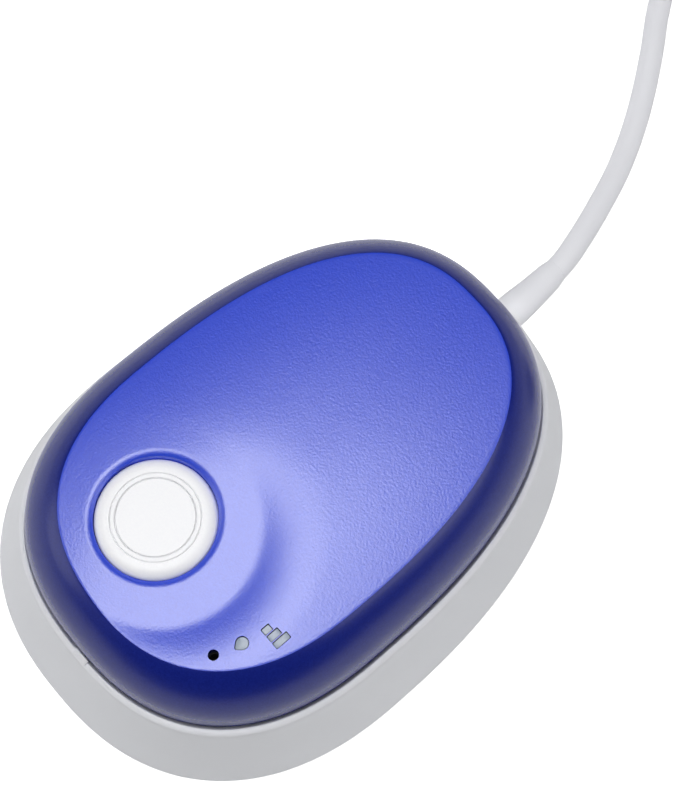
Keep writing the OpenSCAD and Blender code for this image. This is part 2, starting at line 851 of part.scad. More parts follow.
module cradle_shell() {
    tab_t = pocket_gap + rim_bevel;
    color("gainsboro")
        difference() {
            union() {
                loft(cradle_stations);
                at_bosses()
                    post(0, 0, plate_top, boss_d, seat_z + 0.4 - plate_top);
                for (p = rest_places)
                    post(p[0], p[1], pocket_z - pocket_floor_t / 2, rest_d, rest_h + pocket_floor_t / 2);
                translate([outlet_x - tab_w / 2, nose_y - tab_t, rim_z - 1.2])
                    cube([tab_w, tab_t - 0.15, 1.2]);
            }
            at_bosses()
                post(0, 0, plate_top - over, cradle_screw_d, seat_z - 0.6 - plate_top + over);
            at_contacts()
                post(0, 0, under_z - over, barrel_d + 0.3, pocket_floor_t + 2 * over);
            outlet_bore(relief_d + 2 * fit, collar_y + collar_t, relief_out_y + 2 * over);
        }
}

// Base plate that closes the cradle from below, with counterbored screw holes and foot recesses
module cradle_base() {
    head_room = plate_t / 2;
    rib_y = contact_y + 2 - contact_board_l;
    color("lightgray")
        difference() {
            union() {
                egg_plate(foot_reach - cradle_wall - 0.6, plate_z, plate_t, foot_power, -pendant_shift);
                for (side = [-1, 1])
                    translate([side * contact_board_w / 4 - 0.5, rib_y, plate_top])
                        cube([1, contact_board_l - 1, contact_board_z - plate_top]);
            }
            at_bosses() {
                post(0, 0, plate_z - over, cradle_screw_d + 0.2, plate_t + 2 * over);
                post(0, 0, plate_z - over, cradle_head_d + 0.4, head_room + over);
            }
            for (a = foot_angles)
                translate(egg_point(a, -foot_inset))
                    post(0, 0, plate_z - over, foot_d, foot_let_in + over);
        }
}

// Four rubber feet let into the base plate
module cradle_feet() {
    edge = 0.3;
    color("dimgray")
        for (a = foot_angles)
            translate(egg_point(a, -foot_inset)) {
                cylinder(d1 = foot_d - 2 * edge, d2 = foot_d, h = edge);
                post(0, 0, edge, foot_d, foot_t - edge);
            }
}

// Four screws through the base plate into the cradle's bosses
module cradle_screws() {
    head_room = plate_t / 2;
    color("silver")
        at_bosses() {
            post(0, 0, plate_z + 0.1, cradle_head_d, head_room - 0.1);
            post(0, 0, plate_z + head_room / 2, cradle_screw_d, seat_z - 0.8 - plate_z - head_room / 2);
        }
}

// Small circuit board that carries the spring pins
module contact_board() {
    color("darkgreen")
        translate([0, contact_y + 2 - contact_board_l / 2, contact_board_z])
            round_block(contact_board_w, contact_board_l, contact_board_t, 0.8);
}

// Barrels of the two spring pins, soldered to the contact board and reaching through the pocket floor
module pin_barrels() {
    bore_z = barrel_top - pin_sunk - pin_travel - 0.1;
    color("gold")
        at_contacts()
            difference() {
                union() {
                    post(0, 0, contact_board_top, barrel_d, barrel_top - contact_board_top);
                    post(0, 0, contact_board_top, barrel_d + 0.8, 0.3);
                }
                post(0, 0, bore_z, pin_d + 2 * fit, barrel_top - bore_z + over);
            }
}

// Sprung tip of one pin, resting against its charging contact
module contact_pin(side) {
    tip = 0.15;
    color("gold")
        translate([side * contact_pitch / 2, contact_y, barrel_top - pin_sunk]) {
            cylinder(d = pin_d, h = seat_z - tip - barrel_top + pin_sunk);
            translate([0, 0, seat_z - tip - barrel_top + pin_sunk])
                cylinder(d1 = pin_d, d2 = pin_d - 2 * tip, h = tip - 0.02);
        }
}
module contact_pin_left() {
    contact_pin(-1);
}
module contact_pin_right() {
    contact_pin(1);
}

// Moulded strain relief: collar inside the cradle, neck through the skirt and a tapered tail
module strain_relief() {
    tip_round = 0.3;
    neck_l = relief_out_y - collar_y;
    tail_len = relief_tip_y - collar_y;
    color("gainsboro")
        translate([outlet_x, collar_y, outlet_z])
            rotate([-90, 0, 0])
                rotate_extrude()
                    polygon([
                        [0, 0], [collar_d / 2, 0], [collar_d / 2, collar_t], [relief_d / 2, collar_t],
                        [relief_d / 2, neck_l], [relief_tip_d / 2, tail_len - tip_round],
                        [relief_tip_d / 2 - tip_round / 2, tail_len], [0, tail_len]
                    ]);
}

// Tube through a list of points. Its flat ends are square to the first and last stretch, or to the
// directions given
function unit(v) = v / norm(v);
function heading(p, i) = unit(p[min(i + 1, len(p) - 1)] - p[max(i - 1, 0)]);
function tube_ring(c, t, r, sides) =
    let (across = unit(cross(t, [0, 0, 1])), up = cross(across, t))
        [for (k = [0 : sides - 1])
            c + r * (cos(360 * (k + 0.5) / sides) * across + sin(360 * (k + 0.5) / sides) * up)];
module tube(p, d, sides, starting = undef, ending = undef) {
    last = len(p) - 1;
    first_way = is_undef(starting) ? heading(p, 0) : starting;
    last_way = is_undef(ending) ? heading(p, last) : ending;
    ways = [for (i = [0 : last]) i == 0 ? first_way : i == last ? last_way : heading(p, i)];
    rings = [for (i = [0 : last]) each tube_ring(p[i], ways[i], d / 2, sides)];
    walls = [
        for (i = [0 : last - 1], k = [0 : sides - 1])
            let (a = i * sides, b = a + sides, m = (k + 1) % sides)
                each [[a + k, b + m, b + k], [a + k, a + m, b + m]]
    ];
    first_end = [for (k = [sides - 1 : -1 : 0]) k];
    last_end = [for (k = [0 : sides - 1]) last * sides + k];
    polyhedron(rings, concat([first_end], walls, [last_end]));
}

// Two insulated wires from the strain relief to the contact board
wire_d = 0.8;
module lead_wires() {
    pad_y = contact_y + 0.6;
    wire_z = contact_board_top + wire_d / 2;
    color("firebrick")
        for (side = [-1, 1])
            tube([
                [outlet_x + side * 0.8, collar_y, outlet_z],
                [outlet_x + side * 0.8, collar_y - 1, outlet_z],
                [outlet_x + side * 0.9, collar_y - 2.6, wire_z + 0.5],
                [outlet_x + side, pad_y + 1, wire_z],
                [outlet_x + side, pad_y, wire_z]
            ], wire_d, 8);
}

// Free stretch of the lead, from the strain relief along the table to the coil
module cord_lead() {
    color("gainsboro")
        tube(concat(lead_points, [coil_path[0]]), cord_d, 8, [0, 1, 0], along(coil_start));
}

// Coil: the lower layer spirals in, climbs where it turns, and the upper layer spirals out again
turn_pitch = cord_d + turn_gap;
coil_outer = coil_d / 2 + lower_turns * turn_pitch / 2;
coil_inner = coil_outer - lower_turns * turn_pitch;
climb_turns = 0.5;
// The upper layer ends beside the coil, at angle 0, so that the plug lies along the coil's side
all_turns = 2 * lower_turns + coil_start / 360;
rings_per_turn = 24;
function ease(s) = s * s * (3 - 2 * s);
function coil_radius(t) =
    t < lower_turns + climb_turns / 2
        ? coil_outer - turn_pitch * t
        : coil_inner + turn_pitch * (t - lower_turns - climb_turns);
function coil_level(t) = layer_low + turn_pitch * ease(max(0, min(1, (t - lower_turns) / climb_turns)));
function coil_point(t) = [
    coil_centre[0] + coil_radius(t) * cos(coil_start + coil_sense * 360 * t),
    coil_centre[1] + coil_radius(t) * sin(coil_start + coil_sense * 360 * t),
    coil_level(t)
];
function along(a) = coil_sense * [-sin(a), cos(a), 0];
coil_steps = floor(all_turns * rings_per_turn);
coil_turns = [for (i = [0 : coil_steps]) coil_point(i * all_turns / coil_steps)];
coil_end_angle = coil_start + coil_sense * 360 * all_turns;
coil_path = concat(
    [coil_turns[0] - cord_d * along(coil_start)],
    coil_turns,
    [coil_turns[coil_steps] + cord_d * along(coil_end_angle)]
);
coil_gap = min([
    for (i = [0 : coil_steps - 13], j = [i + 13 : coil_steps]) norm(coil_turns[i] - coil_turns[j])
]) - cord_d;
function run(p) = [for (i = [1 : len(p) - 1]) norm(p[i] - p[i - 1])];
function total(v) = v * [for (i = v) 1];
module cord_coil() {
    color("gainsboro")
        tube(coil_path, cord_d, 6);
    echo(coil_least_gap = coil_gap, coil_length = total(run(coil_path)));
}

// Tail of the lead, from the coil to the plug
plug_heading = coil_end_angle + coil_sense * 90;
tail_run = 14;
tail_out = 5;
tail_high = grip_t / 2 + 0.7;
tail_start = coil_path[len(coil_path) - 1];
function tail_point(ahead, out, z) =
    [tail_start[0], tail_start[1], 0] + ahead * along(coil_end_angle)
    + out * [cos(coil_end_angle), sin(coil_end_angle), 0] + [0, 0, z];
tail_points = [
    tail_start, tail_point(0.2 * tail_run, 0.08 * tail_out, tail_start[2]),
    tail_point(0.45 * tail_run, 0.45 * tail_out, tail_high),
    tail_point(0.7 * tail_run, 0.88 * tail_out, grip_t / 2 + 0.1),
    tail_point(0.85 * tail_run, tail_out, grip_t / 2), tail_point(tail_run, tail_out, grip_t / 2)
];
module cord_tail() {
    color("gainsboro")
        tube(tail_points, cord_d, 8, along(coil_end_angle), along(coil_end_angle));
    echo(lead_length = total(run(concat(lead_points, [coil_path[0]]))));
    echo(tail_length = total(run(tail_points)));
}

// Strap wrapped once round the coil
tie_angle = coil_start + coil_sense * 150;
module cord_tie() {
    room = 0.15;
    inside = coil_inner - turn_pitch * 0.3 - cord_d / 2 - 0.8;
    outside = coil_outer + cord_d / 2 + 0.4;
    high = coil_level(all_turns) + cord_d / 2 + room;
    mid = (inside + outside) / 2;
    color("white")
        translate([coil_centre[0], coil_centre[1], 0])
            rotate(tie_angle)
                translate([mid, tie_w / 2, (high + tie_t) / 2])
                    rotate([90, 0, 0])
                        linear_extrude(tie_w)
                            difference() {
                                round_rect(outside - inside + 2 * tie_t, high + tie_t, 1.2);
                                round_rect(outside - inside, high - tie_t, 1.2 - tie_t);
                            }
}

// Plug, lying flat: x runs along its heading from the tail's end
module at_plug() {
    translate(tail_points[len(tail_points) - 1])
        rotate(plug_heading)
            children();
}
module along_plug() {
    rotate([90, 0, 90])
        children();
}

// Moulded grip of the plug, with a short tapered neck and three finger ridges on each face
neck_l = 6;
neck_d = 6;
neck_sleeve = 0.8;
module plug_grip() {
    color("gainsboro")
        at_plug() {
            rotate([0, 90, 0])
                cylinder(d1 = cord_d + neck_sleeve, d2 = neck_d, h = neck_l);
            translate([neck_l, 0, 0])
                difference() {
                    along_plug()
                        linear_extrude(grip_l)
                            round_rect(grip_w, grip_t, 2);
                    for (face = [-1, 1], i = [0 : 2])
                        translate([5 + 2.5 * i, 0, face * grip_t / 2])
                            cube([1, grip_w - 5, 0.8], center = true);
                }
        }
}

// Folded steel shell of the plug
module plug_shell() {
    color("silver")
        at_plug()
            translate([neck_l + grip_l, 0, 0])
                difference() {
                    along_plug()
                        linear_extrude(shell_l)
                            round_rect(shell_w, shell_t, 0.5);
                    translate([-over, 0, 0])
                        along_plug()
                            linear_extrude(shell_l + 2 * over)
                                round_rect(shell_w - 2 * shell_sheet, shell_t - 2 * shell_sheet, 0.25);
                    for (face = [-1, 1], side = [-1, 1])
                        translate([shell_l * 0.55, side * shell_w * 0.23, face * shell_t / 2])
                            cube([2.2, 2.2, 4 * shell_sheet], center = true);
                }
}

// Plastic tongue that fills the upper half of the plug's shell
tongue_t = 1.9;
module plug_tongue() {
    color("white")
        at_plug()
            translate([neck_l + grip_l, 0, shell_t / 2 - shell_sheet - tongue_t / 2])
                translate([0, -shell_w / 2 + shell_sheet + 0.25, -tongue_t / 2])
                    cube([shell_l - 0.6, shell_w - 2 * shell_sheet - 0.5, tongue_t]);
}

// Four gilt contacts on the lower face of the tongue
module plug_contacts() {
    contact_w = 1;
    contact_t = 0.15;
    contact_z = shell_t / 2 - shell_sheet - tongue_t - contact_t;
    color("gold")
        at_plug()
            for (y = [-3.5, -1, 1, 3.5])
                translate([neck_l + grip_l + 1, y - contact_w / 2, contact_z])
                    cube([shell_l - 3, contact_w, contact_t]);
}

front_cover();
rear_cover();
cover_gasket();
button_seal();
call_button();
switch_plunger();
switch_body();
light_guide();
status_leds();
main_board();
board_screws();
microphone();
mic_boot();
radio_shield();
gps_antenna();
cell_antenna();
battery();
battery_pad();
speaker();
speaker_mesh();
charge_contacts();
cradle_shell();
cradle_base();
cradle_feet();
cradle_screws();
contact_board();
pin_barrels();
contact_pin_left();
contact_pin_right();
strain_relief();
lead_wires();
cord_lead();
cord_coil();
cord_tail();
cord_tie();
plug_grip();
plug_shell();
plug_tongue();
plug_contacts();
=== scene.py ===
import math

import bmesh
import bpy
import numpy as np
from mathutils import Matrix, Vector


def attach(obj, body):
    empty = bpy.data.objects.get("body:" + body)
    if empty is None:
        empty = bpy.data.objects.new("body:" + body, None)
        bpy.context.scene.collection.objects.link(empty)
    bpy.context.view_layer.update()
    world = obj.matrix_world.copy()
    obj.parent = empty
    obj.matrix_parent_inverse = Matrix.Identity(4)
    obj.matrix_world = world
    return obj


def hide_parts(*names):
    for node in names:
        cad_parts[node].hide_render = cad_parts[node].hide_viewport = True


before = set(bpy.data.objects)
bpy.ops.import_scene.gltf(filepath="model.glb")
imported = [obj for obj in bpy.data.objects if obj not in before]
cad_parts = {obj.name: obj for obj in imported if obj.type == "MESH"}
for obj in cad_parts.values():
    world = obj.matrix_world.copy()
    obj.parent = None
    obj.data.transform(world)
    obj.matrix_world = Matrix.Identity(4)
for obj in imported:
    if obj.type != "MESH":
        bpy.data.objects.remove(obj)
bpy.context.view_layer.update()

# Camera: a long lens above the table, to the right of the button end, looking steeply down at the
# pendant in its cradle. The frame is 679 x 785, so the sensor's long side lies along its height.
MM = 0.001
view_turn = math.radians(48.834)
view_rise = math.radians(71.467)
view_distance = 220.0
view_target = Vector((-6.226, 13.097, 0.0))
frame_height_px = 785
focal_length_px = 1827.5
sensor_mm = 36.0
view_back = Vector((
    math.sin(view_turn) * math.cos(view_rise),
    -math.cos(view_turn) * math.cos(view_rise),
    math.sin(view_rise),
))
camera = bpy.data.objects.new("camera", bpy.data.cameras.new("camera"))
camera.data.sensor_width = sensor_mm
camera.data.lens = sensor_mm * focal_length_px / frame_height_px
camera.data.clip_start = 10 * MM
camera.location = (view_target + view_distance * view_back) * MM
camera.rotation_euler = view_back.to_track_quat("Z", "Y").to_euler()
bpy.context.scene.collection.objects.link(camera)
bpy.context.scene.camera = camera

# Lead: a round two-core power cord with an extruded soft vinyl sheath. It leaves the strain relief
# straight, comes down to the table and runs out of the picture. What the picture doesn't show is wound
# up in two layers and held by a strap.
cord_d = 3.0
lead_route = [
    (0.5, 41.5, 5.0), (0.2, 43.6, 4.95), (-0.45, 46.0, 4.72), (-1.3, 48.7, 4.3), (-2.75, 52.7, 3.5),
    (-4.3, 56.6, 2.6), (-6.0, 60.2, 1.95), (-7.85, 63.6, 1.6), (-9.75, 66.7, 1.5), (-13.9, 72.6, 1.5),
    (-18.0, 77.9, 1.5), (-21.1, 82.9, 1.6), (-23.5, 88.3, 1.8), (-25.5, 93.9, 2.0),
]
coil_middle = np.array((-5.0, 110.0))
coil_start = math.radians(198)
coil_outer = 24.4
coil_inner = 10.4
turn_pitch = 3.5
lower_turns = 4
climb_turns = 0.5
all_turns = 8.55
layer_low = 2.15
points_per_turn = 24
plug_level = 4.2
tail_run = 14.0
tail_out = 5.0


def coil_point(turn):
    """Centre of the cord after so many turns clockwise: inwards on the lower layer, outwards on the upper."""
    angle = coil_start - 2 * math.pi * turn
    climb = min(max((turn - lower_turns) / climb_turns, 0), 1)
    level = layer_low + turn_pitch * climb * climb * (3 - 2 * climb)
    reach = coil_outer - turn_pitch * turn
    if turn >= lower_turns + climb_turns / 2:
        reach = coil_inner + turn_pitch * (turn - lower_turns - climb_turns)
    across = coil_middle + reach * np.array((math.cos(angle), math.sin(angle)))
    return np.array((across[0], across[1], level))


def heading(angle):
    """Level direction of travel at an angle round the coil."""
    return np.array((math.sin(angle), -math.cos(angle), 0.0))


coil_steps = math.floor(all_turns * points_per_turn)
coil_turns = [coil_point(step * all_turns / coil_steps) for step in range(coil_steps + 1)]
coil_end = coil_start - 2 * math.pi * all_turns
coil_end_out = np.array((math.cos(coil_end), math.sin(coil_end), 0.0))
coil_entry = coil_turns[0] - cord_d * heading(coil_start)
coil_exit = coil_turns[-1] + cord_d * heading(coil_end)
tail_steps = [
    (0.2, 0.08, coil_exit[2]), (0.45, 0.45, 4.9), (0.7, 0.88, 4.3), (0.85, 1, plug_level), (1, 1, plug_level),
]
tail_ahead = tail_run * heading(coil_end)
tail_aside = tail_out * coil_end_out
tail_route = [
    coil_exit * (1, 1, 0) + ahead * tail_ahead + aside * tail_aside + (0, 0, level)
    for ahead, aside, level in tail_steps
]
cord_line = bpy.data.curves.new("lead_cord", "CURVE")
cord_line.dimensions = "3D"
cord_line.bevel_depth = cord_d / 2 * MM
cord_line.bevel_resolution = 6
cord_line.resolution_u = 6
cord_line.use_fill_caps = True
cord_route = [*lead_route, coil_entry, *coil_turns, coil_exit, *tail_route]
cord_spline = cord_line.splines.new("BEZIER")
cord_spline.bezier_points.add(len(cord_route) - 1)
for knot, place in zip(cord_spline.bezier_points, cord_route):
    knot.co = Vector(place) * MM
    knot.handle_left_type = "AUTO"
    knot.handle_right_type = "AUTO"
cord = bpy.data.objects.new("lead_cord", cord_line)
bpy.context.scene.collection.objects.link(cord)


def colour(code):
    """Linear colour of an sRGB hex value."""
    shares = [int(code[at:at + 2], 16) / 255 for at in (1, 3, 5)]
    return [s / 12.92 if s <= 0.04045 else ((s + 0.055) / 1.055) ** 2.4 for s in shares] + [1.0]


def add_node(tree, kind, links=None, **settings):
    """One shader node, with its settings and with values or other nodes' outputs on its sockets."""
    made = tree.nodes.new(kind)
    for name, value in settings.items():
        setattr(made, name, value)
    for socket, value in (links or {}).items():
        if isinstance(value, bpy.types.NodeSocket):
            tree.links.new(value, made.inputs[socket])
        else:
            made.inputs[socket].default_value = value
    return made


def new_material(name):
    """An empty material, its node tree and the place of each point on the piece in metres."""
    made = bpy.data.materials.new(name)
    made.use_nodes = True
    made.node_tree.nodes.clear()
    place = add_node(made.node_tree, "ShaderNodeTexCoord").outputs["Object"]
    return made, made.node_tree, place


def per_metre(size_mm):
    """Pattern scale of a feature of that size, for places in metres."""
    return 1 / (size_mm * MM)


# Soft vinyl: an even satin white with a faint cloudiness from the extruder and a slightly waxy surface
vinyl, tree, place = new_material("soft_vinyl")
cloud = add_node(tree, "ShaderNodeTexNoise", {"Vector": place, "Scale": per_metre(9), "Detail": 3.0})
tint = add_node(tree, "ShaderNodeMixRGB", {
    "Fac": cloud.outputs["Fac"], "Color1": colour("#F0F0F4"), "Color2": colour("#F5F5F8")})
skin_marks = add_node(tree, "ShaderNodeTexNoise", {"Vector": place, "Scale": per_metre(0.5), "Detail": 2.0})
relief = add_node(tree, "ShaderNodeBump", {
    "Height": skin_marks.outputs["Fac"], "Strength": 0.12, "Distance": 0.05 * MM})
sheath = add_node(tree, "ShaderNodeBsdfPrincipled", {
    "Base Color": tint.outputs["Color"], "Normal": relief.outputs["Normal"], "Roughness": 0.45, "IOR": 1.53})
add_node(tree, "ShaderNodeOutputMaterial", {"Surface": sheath.outputs["BSDF"]})

cord_line.materials.append(vinyl)
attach(cord, "cradle")
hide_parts("cord_lead", "cord_coil", "cord_tail")

# Strain relief: a vinyl sleeve moulded onto the lead. A collar inside the cradle holds it, its neck fills
# the outlet in the skirt, and its tail narrows to the cord and gives way to one side with it.
outlet_x = 0.8
outlet_z = 5.0
collar_y = 30.73
relief_profile = [
    (1.5, 0.0), (2.6, 0.0), (2.6, 0.8), (2.1, 0.8), (2.1, 3.2), (2.1, 4.0), (2.05, 5.0), (1.98, 6.0),
    (1.91, 7.0), (1.85, 8.0), (1.8, 9.0), (1.76, 9.6), (1.71, 10.0), (1.64, 10.35), (1.57, 10.7),
    (1.53, 11.0), (1.4, 11.08),
]
relief_bend = 0.3
bend_start = 34.0


def round_rows(profile, steps=96):
    """Rings of points for a turned piece, from its (radius, height) profile along +Z."""
    angles = np.linspace(0, 2 * math.pi, steps, endpoint=False)
    return np.array([
        np.stack([r * np.cos(angles), r * np.sin(angles), np.full(steps, h)], -1) for r, h in profile
    ])


def skin(name, rows, material, joined=False):
    """Closed skin of quads through rings of points in millimetres. The first and last rings are joined
    to each other, or each ends in a fan."""
    rows = np.asarray(rows)
    count, steps = rows.shape[:2]
    ring = np.arange(steps)
    after = np.roll(ring, -1)
    points = [tuple(p) for p in rows.reshape(-1, 3) * MM]
    faces = []
    for row in range(count if joined else count - 1):
        low = row * steps
        high = (row + 1) % count * steps
        faces += np.stack([low + ring, low + after, high + after, high + ring], -1).tolist()
    if not joined:
        for row in (0, count - 1):
            points.append(tuple(rows[row].mean(0) * MM))
            middle = np.full(steps, len(points) - 1)
            faces += np.stack([row * steps + ring, row * steps + after, middle], -1).tolist()
    mesh = bpy.data.meshes.new(name)
    mesh.from_pydata(points, [], faces)
    work = bmesh.new()
    work.from_mesh(mesh)
    bmesh.ops.recalc_face_normals(work, faces=work.faces)
    work.to_mesh(mesh)
    work.free()
    mesh.materials.append(material)
    made = bpy.data.objects.new(name, mesh)
    bpy.context.scene.collection.objects.link(made)
    return made


def shade(piece, sharp_angle=32):
    """Smooth shading with crisp edges where the surface turns by more than an angle."""
    piece.data.polygons.foreach_set("use_smooth", [True] * len(piece.data.polygons))
    piece.data.set_sharp_from_angle(angle=math.radians(sharp_angle))


def turned_to_y(rows, x, y, z):
    """Rings made along +Z, laid along +Y from a point."""
    return np.stack([rows[..., 0] + x, rows[..., 2] + y, z - rows[..., 1]], -1)


relief_rows = turned_to_y(round_rows(relief_profile), outlet_x, collar_y, outlet_z)
bent = np.clip((relief_rows[..., 1] - bend_start) / (lead_route[0][1] - bend_start), 0, 1)
relief_rows[..., 0] -= relief_bend * bent ** 2
strain_relief = skin("strain_relief_sleeve", relief_rows, vinyl)
shade(strain_relief, 50)
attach(strain_relief, "cradle")
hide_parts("strain_relief")

# Tie: a hook-and-loop strap, woven in white nylon, wrapped once round the coil with its end pressed down
# over its own start.
tie_w = 6.0
tie_t = 0.5
tie_angle = coil_start - math.radians(150)
tie_bend = 0.95
tie_in = 6.8
tie_out = 26.55
tie_low = 0.25
tie_high = 7.55
tie_over = 8.08


def corner(middle_u, middle_z, start, steps=6):
    """Quarter turn of the strap's middle line, clockwise from an angle in degrees."""
    turns = [math.radians(start - 90 * step / steps) for step in range(steps + 1)]
    return [(middle_u + tie_bend * math.cos(a), middle_z + tie_bend * math.sin(a)) for a in turns]


tie_line = [(13.0, tie_high), (18.0, tie_high), (23.0, tie_high)]
tie_line += corner(tie_out - tie_bend, tie_high - tie_bend, 90)
tie_line += corner(tie_out - tie_bend, tie_low + tie_bend, 0)
tie_line += corner(tie_in + tie_bend, tie_low + tie_bend, -90)
tie_line += corner(tie_in + tie_bend, tie_over - tie_bend, 180)
tie_line += [(11.0, tie_over), (16.0, tie_over), (20.0, tie_over), (21.0, tie_over - 0.02)]


def strap_rows(line, width, thick, edge=0.18, steps=5):
    """Sections of a flat strap with rounded edges, across a line of (u, z) points. v runs along its width."""
    line = np.array(line)
    ahead = np.gradient(line, axis=0)
    ahead /= np.linalg.norm(ahead, axis=1)[:, None]
    section = []
    for side_v, side_n, start in ((1, 1, 0), (-1, 1, 90), (-1, -1, 180), (1, -1, 270)):
        for step in range(steps):
            a = math.radians(start + 90 * step / (steps - 1))
            section.append((side_v * (width / 2 - edge) + edge * math.cos(a),
                            side_n * (thick / 2 - edge) + edge * math.sin(a)))
    rows = []
    for (u, z), (du, dz) in zip(line, ahead):
        rows.append([(u - n * dz, v, z + n * du) for v, n in section])
    return np.array(rows)


def turned(rows, angle, x, y):
    """Points turned about +Z and moved level."""
    c, s = math.cos(angle), math.sin(angle)
    return np.stack([
        x + c * rows[..., 0] - s * rows[..., 1], y + s * rows[..., 0] + c * rows[..., 1], rows[..., 2]], -1)


# Woven nylon: white loops in close rows that catch the light, with painted shade in the hollows between them
nylon, tree, place = new_material("woven_nylon_loop")
loops_and_hollow_shade = add_node(tree, "ShaderNodeTexVoronoi", {"Vector": place, "Scale": per_metre(0.45), "Randomness": 0.6})
# Painted shade: the white turns grey towards the edges of each loop, in the hollows.
tint = add_node(tree, "ShaderNodeMixRGB", {
    "Fac": loops_and_hollow_shade.outputs["Distance"], "Color1": colour("#F2F2F0"), "Color2": colour("#C9CACB")})
pile = add_node(tree, "ShaderNodeBump", {
    "Height": loops_and_hollow_shade.outputs["Distance"], "Strength": 0.7, "Distance": 0.15 * MM}, invert=True)
cloth = add_node(tree, "ShaderNodeBsdfPrincipled", {
    "Base Color": tint.outputs["Color"], "Normal": pile.outputs["Normal"], "Roughness": 0.75,
    "Sheen Weight": 0.3})
add_node(tree, "ShaderNodeOutputMaterial", {"Surface": cloth.outputs["BSDF"]})

tie = skin("coil_strap", turned(strap_rows(tie_line, tie_w, tie_t), tie_angle, *coil_middle), nylon)
shade(tie, 50)
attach(tie, "cradle")
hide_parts("cord_tie")

# Plug grip: vinyl moulded over the plug's back in one piece with a short ribbed neck. Rounded in section,
# drawn in at its ends, with three finger grooves in each face.
grip_w = 14.0
grip_t = 8.4
grip_l = 20.0
neck_l = 6.0
neck_d = (3.8, 6.0)
neck_rib = 0.25
grip_round = 0.9
groove_at = (5.0, 7.5, 10.0)
groove_half_w = 0.5
groove_depth = 0.4
groove_half_l = 4.5
grip_end_round = 0.4
rib_pitch = 1.4
neck_power = 2
grip_power = 4
section_steps = 96


def grip_section(x, width, thick, power):
    """Rounded section of the grip at a distance along it, let in where a finger groove crosses a face."""
    angles = np.linspace(0, 2 * math.pi, section_steps, endpoint=False)
    y = width / 2 * np.sign(np.cos(angles)) * np.abs(np.cos(angles)) ** (2 / power)
    z = thick / 2 * np.sign(np.sin(angles)) * np.abs(np.sin(angles)) ** (2 / power)
    near = min(abs(x - neck_l - at) for at in groove_at)
    let_in = groove_depth * np.clip((groove_half_w + 0.15 - near) / 0.2, 0, 1)
    across = np.clip((groove_half_l - np.abs(y)) / 0.6, 0, 1)
    z = z - np.sign(z) * let_in * across * (np.abs(z) > grip_t / 3)
    return np.stack([np.full(section_steps, x), y, z], -1)


grip_rows = []
for x in np.linspace(0, neck_l - 0.4, 23):
    width = neck_d[0] + (neck_d[1] - neck_d[0]) * x / neck_l
    width += neck_rib * math.sin(2 * math.pi * x / rib_pitch)
    grip_rows.append(grip_section(x, width, width, neck_power))
for step in range(9):
    a = math.pi / 2 * step / 8
    draw_in = grip_round * (1 - math.sin(a))
    x = neck_l + grip_round * (1 - math.cos(a))
    grip_rows.append(grip_section(x, grip_w - 2 * draw_in, grip_t - 2 * draw_in, grip_power))
for x in np.arange(neck_l + grip_round + 0.1, neck_l + grip_l - 0.5, 0.1):
    grip_rows.append(grip_section(x, grip_w, grip_t, grip_power))
for step in range(6):
    a = math.pi / 2 * step / 5
    draw_in = grip_end_round * (1 - math.cos(a))
    x = neck_l + grip_l - grip_end_round + grip_end_round * math.sin(a)
    grip_rows.append(grip_section(x, grip_w - 2 * draw_in, grip_t - 2 * draw_in, grip_power))
grip_at = np.array(tail_route[-1])
grip_rows = turned(np.array(grip_rows), coil_end - math.pi / 2, grip_at[0], grip_at[1])
plug_grip = skin("plug_grip_moulding", grip_rows + np.array((0, 0, plug_level)), vinyl)
shade(plug_grip, 40)
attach(plug_grip, "cradle")
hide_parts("plug_grip")

# Plug: a folded steel shell with latch windows, a plastic tongue in its upper half and four gilt contacts
# on the tongue, all pressed into the grip.
# Nickel-plated steel: cool, fairly bright, with a fine rolled grain and slightly uneven gloss
steel, tree, place = new_material("nickel_plated_steel")
rolled = add_node(tree, "ShaderNodeMapping", {"Vector": place, "Scale": (1.0, 6.0, 6.0)})
grain = add_node(tree, "ShaderNodeTexNoise", {
    "Vector": rolled.outputs["Vector"], "Scale": per_metre(1.2), "Detail": 4.0})
tint = add_node(tree, "ShaderNodeMixRGB", {
    "Fac": grain.outputs["Fac"], "Color1": colour("#B4B6B8"), "Color2": colour("#D2D3D4")})
dull = add_node(tree, "ShaderNodeMapRange", {"Value": grain.outputs["Fac"], "To Min": 0.24, "To Max": 0.4})
plate = add_node(tree, "ShaderNodeBsdfPrincipled", {
    "Base Color": tint.outputs["Color"], "Roughness": dull.outputs["Result"], "Metallic": 1.0})
add_node(tree, "ShaderNodeOutputMaterial", {"Surface": plate.outputs["BSDF"]})

# Gold flash over nickel: warm, smooth and a little worn
gilt, tree, place = new_material("gold_flash")
wear = add_node(tree, "ShaderNodeTexNoise", {"Vector": place, "Scale": per_metre(0.8), "Detail": 4.0})
tint = add_node(tree, "ShaderNodeMixRGB", {
    "Fac": wear.outputs["Fac"], "Color1": colour("#D9B45C"), "Color2": colour("#E8CC86")})
plate = add_node(tree, "ShaderNodeBsdfPrincipled", {
    "Base Color": tint.outputs["Color"], "Roughness": 0.26, "Metallic": 1.0})
add_node(tree, "ShaderNodeOutputMaterial", {"Surface": plate.outputs["BSDF"]})

# Glass-filled nylon: a dense, slightly mottled moulding
filled_nylon, tree, place = new_material("white_filled_nylon")
mottle = add_node(tree, "ShaderNodeTexNoise", {"Vector": place, "Scale": per_metre(0.6), "Detail": 3.0})
tint = add_node(tree, "ShaderNodeMixRGB", {
    "Fac": mottle.outputs["Fac"], "Color1": colour("#DEDDD8"), "Color2": colour("#EFEEEA")})
moulding = add_node(tree, "ShaderNodeBsdfPrincipled", {
    "Base Color": tint.outputs["Color"], "Roughness": 0.55, "IOR": 1.53})
add_node(tree, "ShaderNodeOutputMaterial", {"Surface": moulding.outputs["BSDF"]})


def finish_node(material, *names):
    """The CAD's own solids keep their shape and take a material."""
    for name in names:
        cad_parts[name].data.materials.clear()
        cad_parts[name].data.materials.append(material)


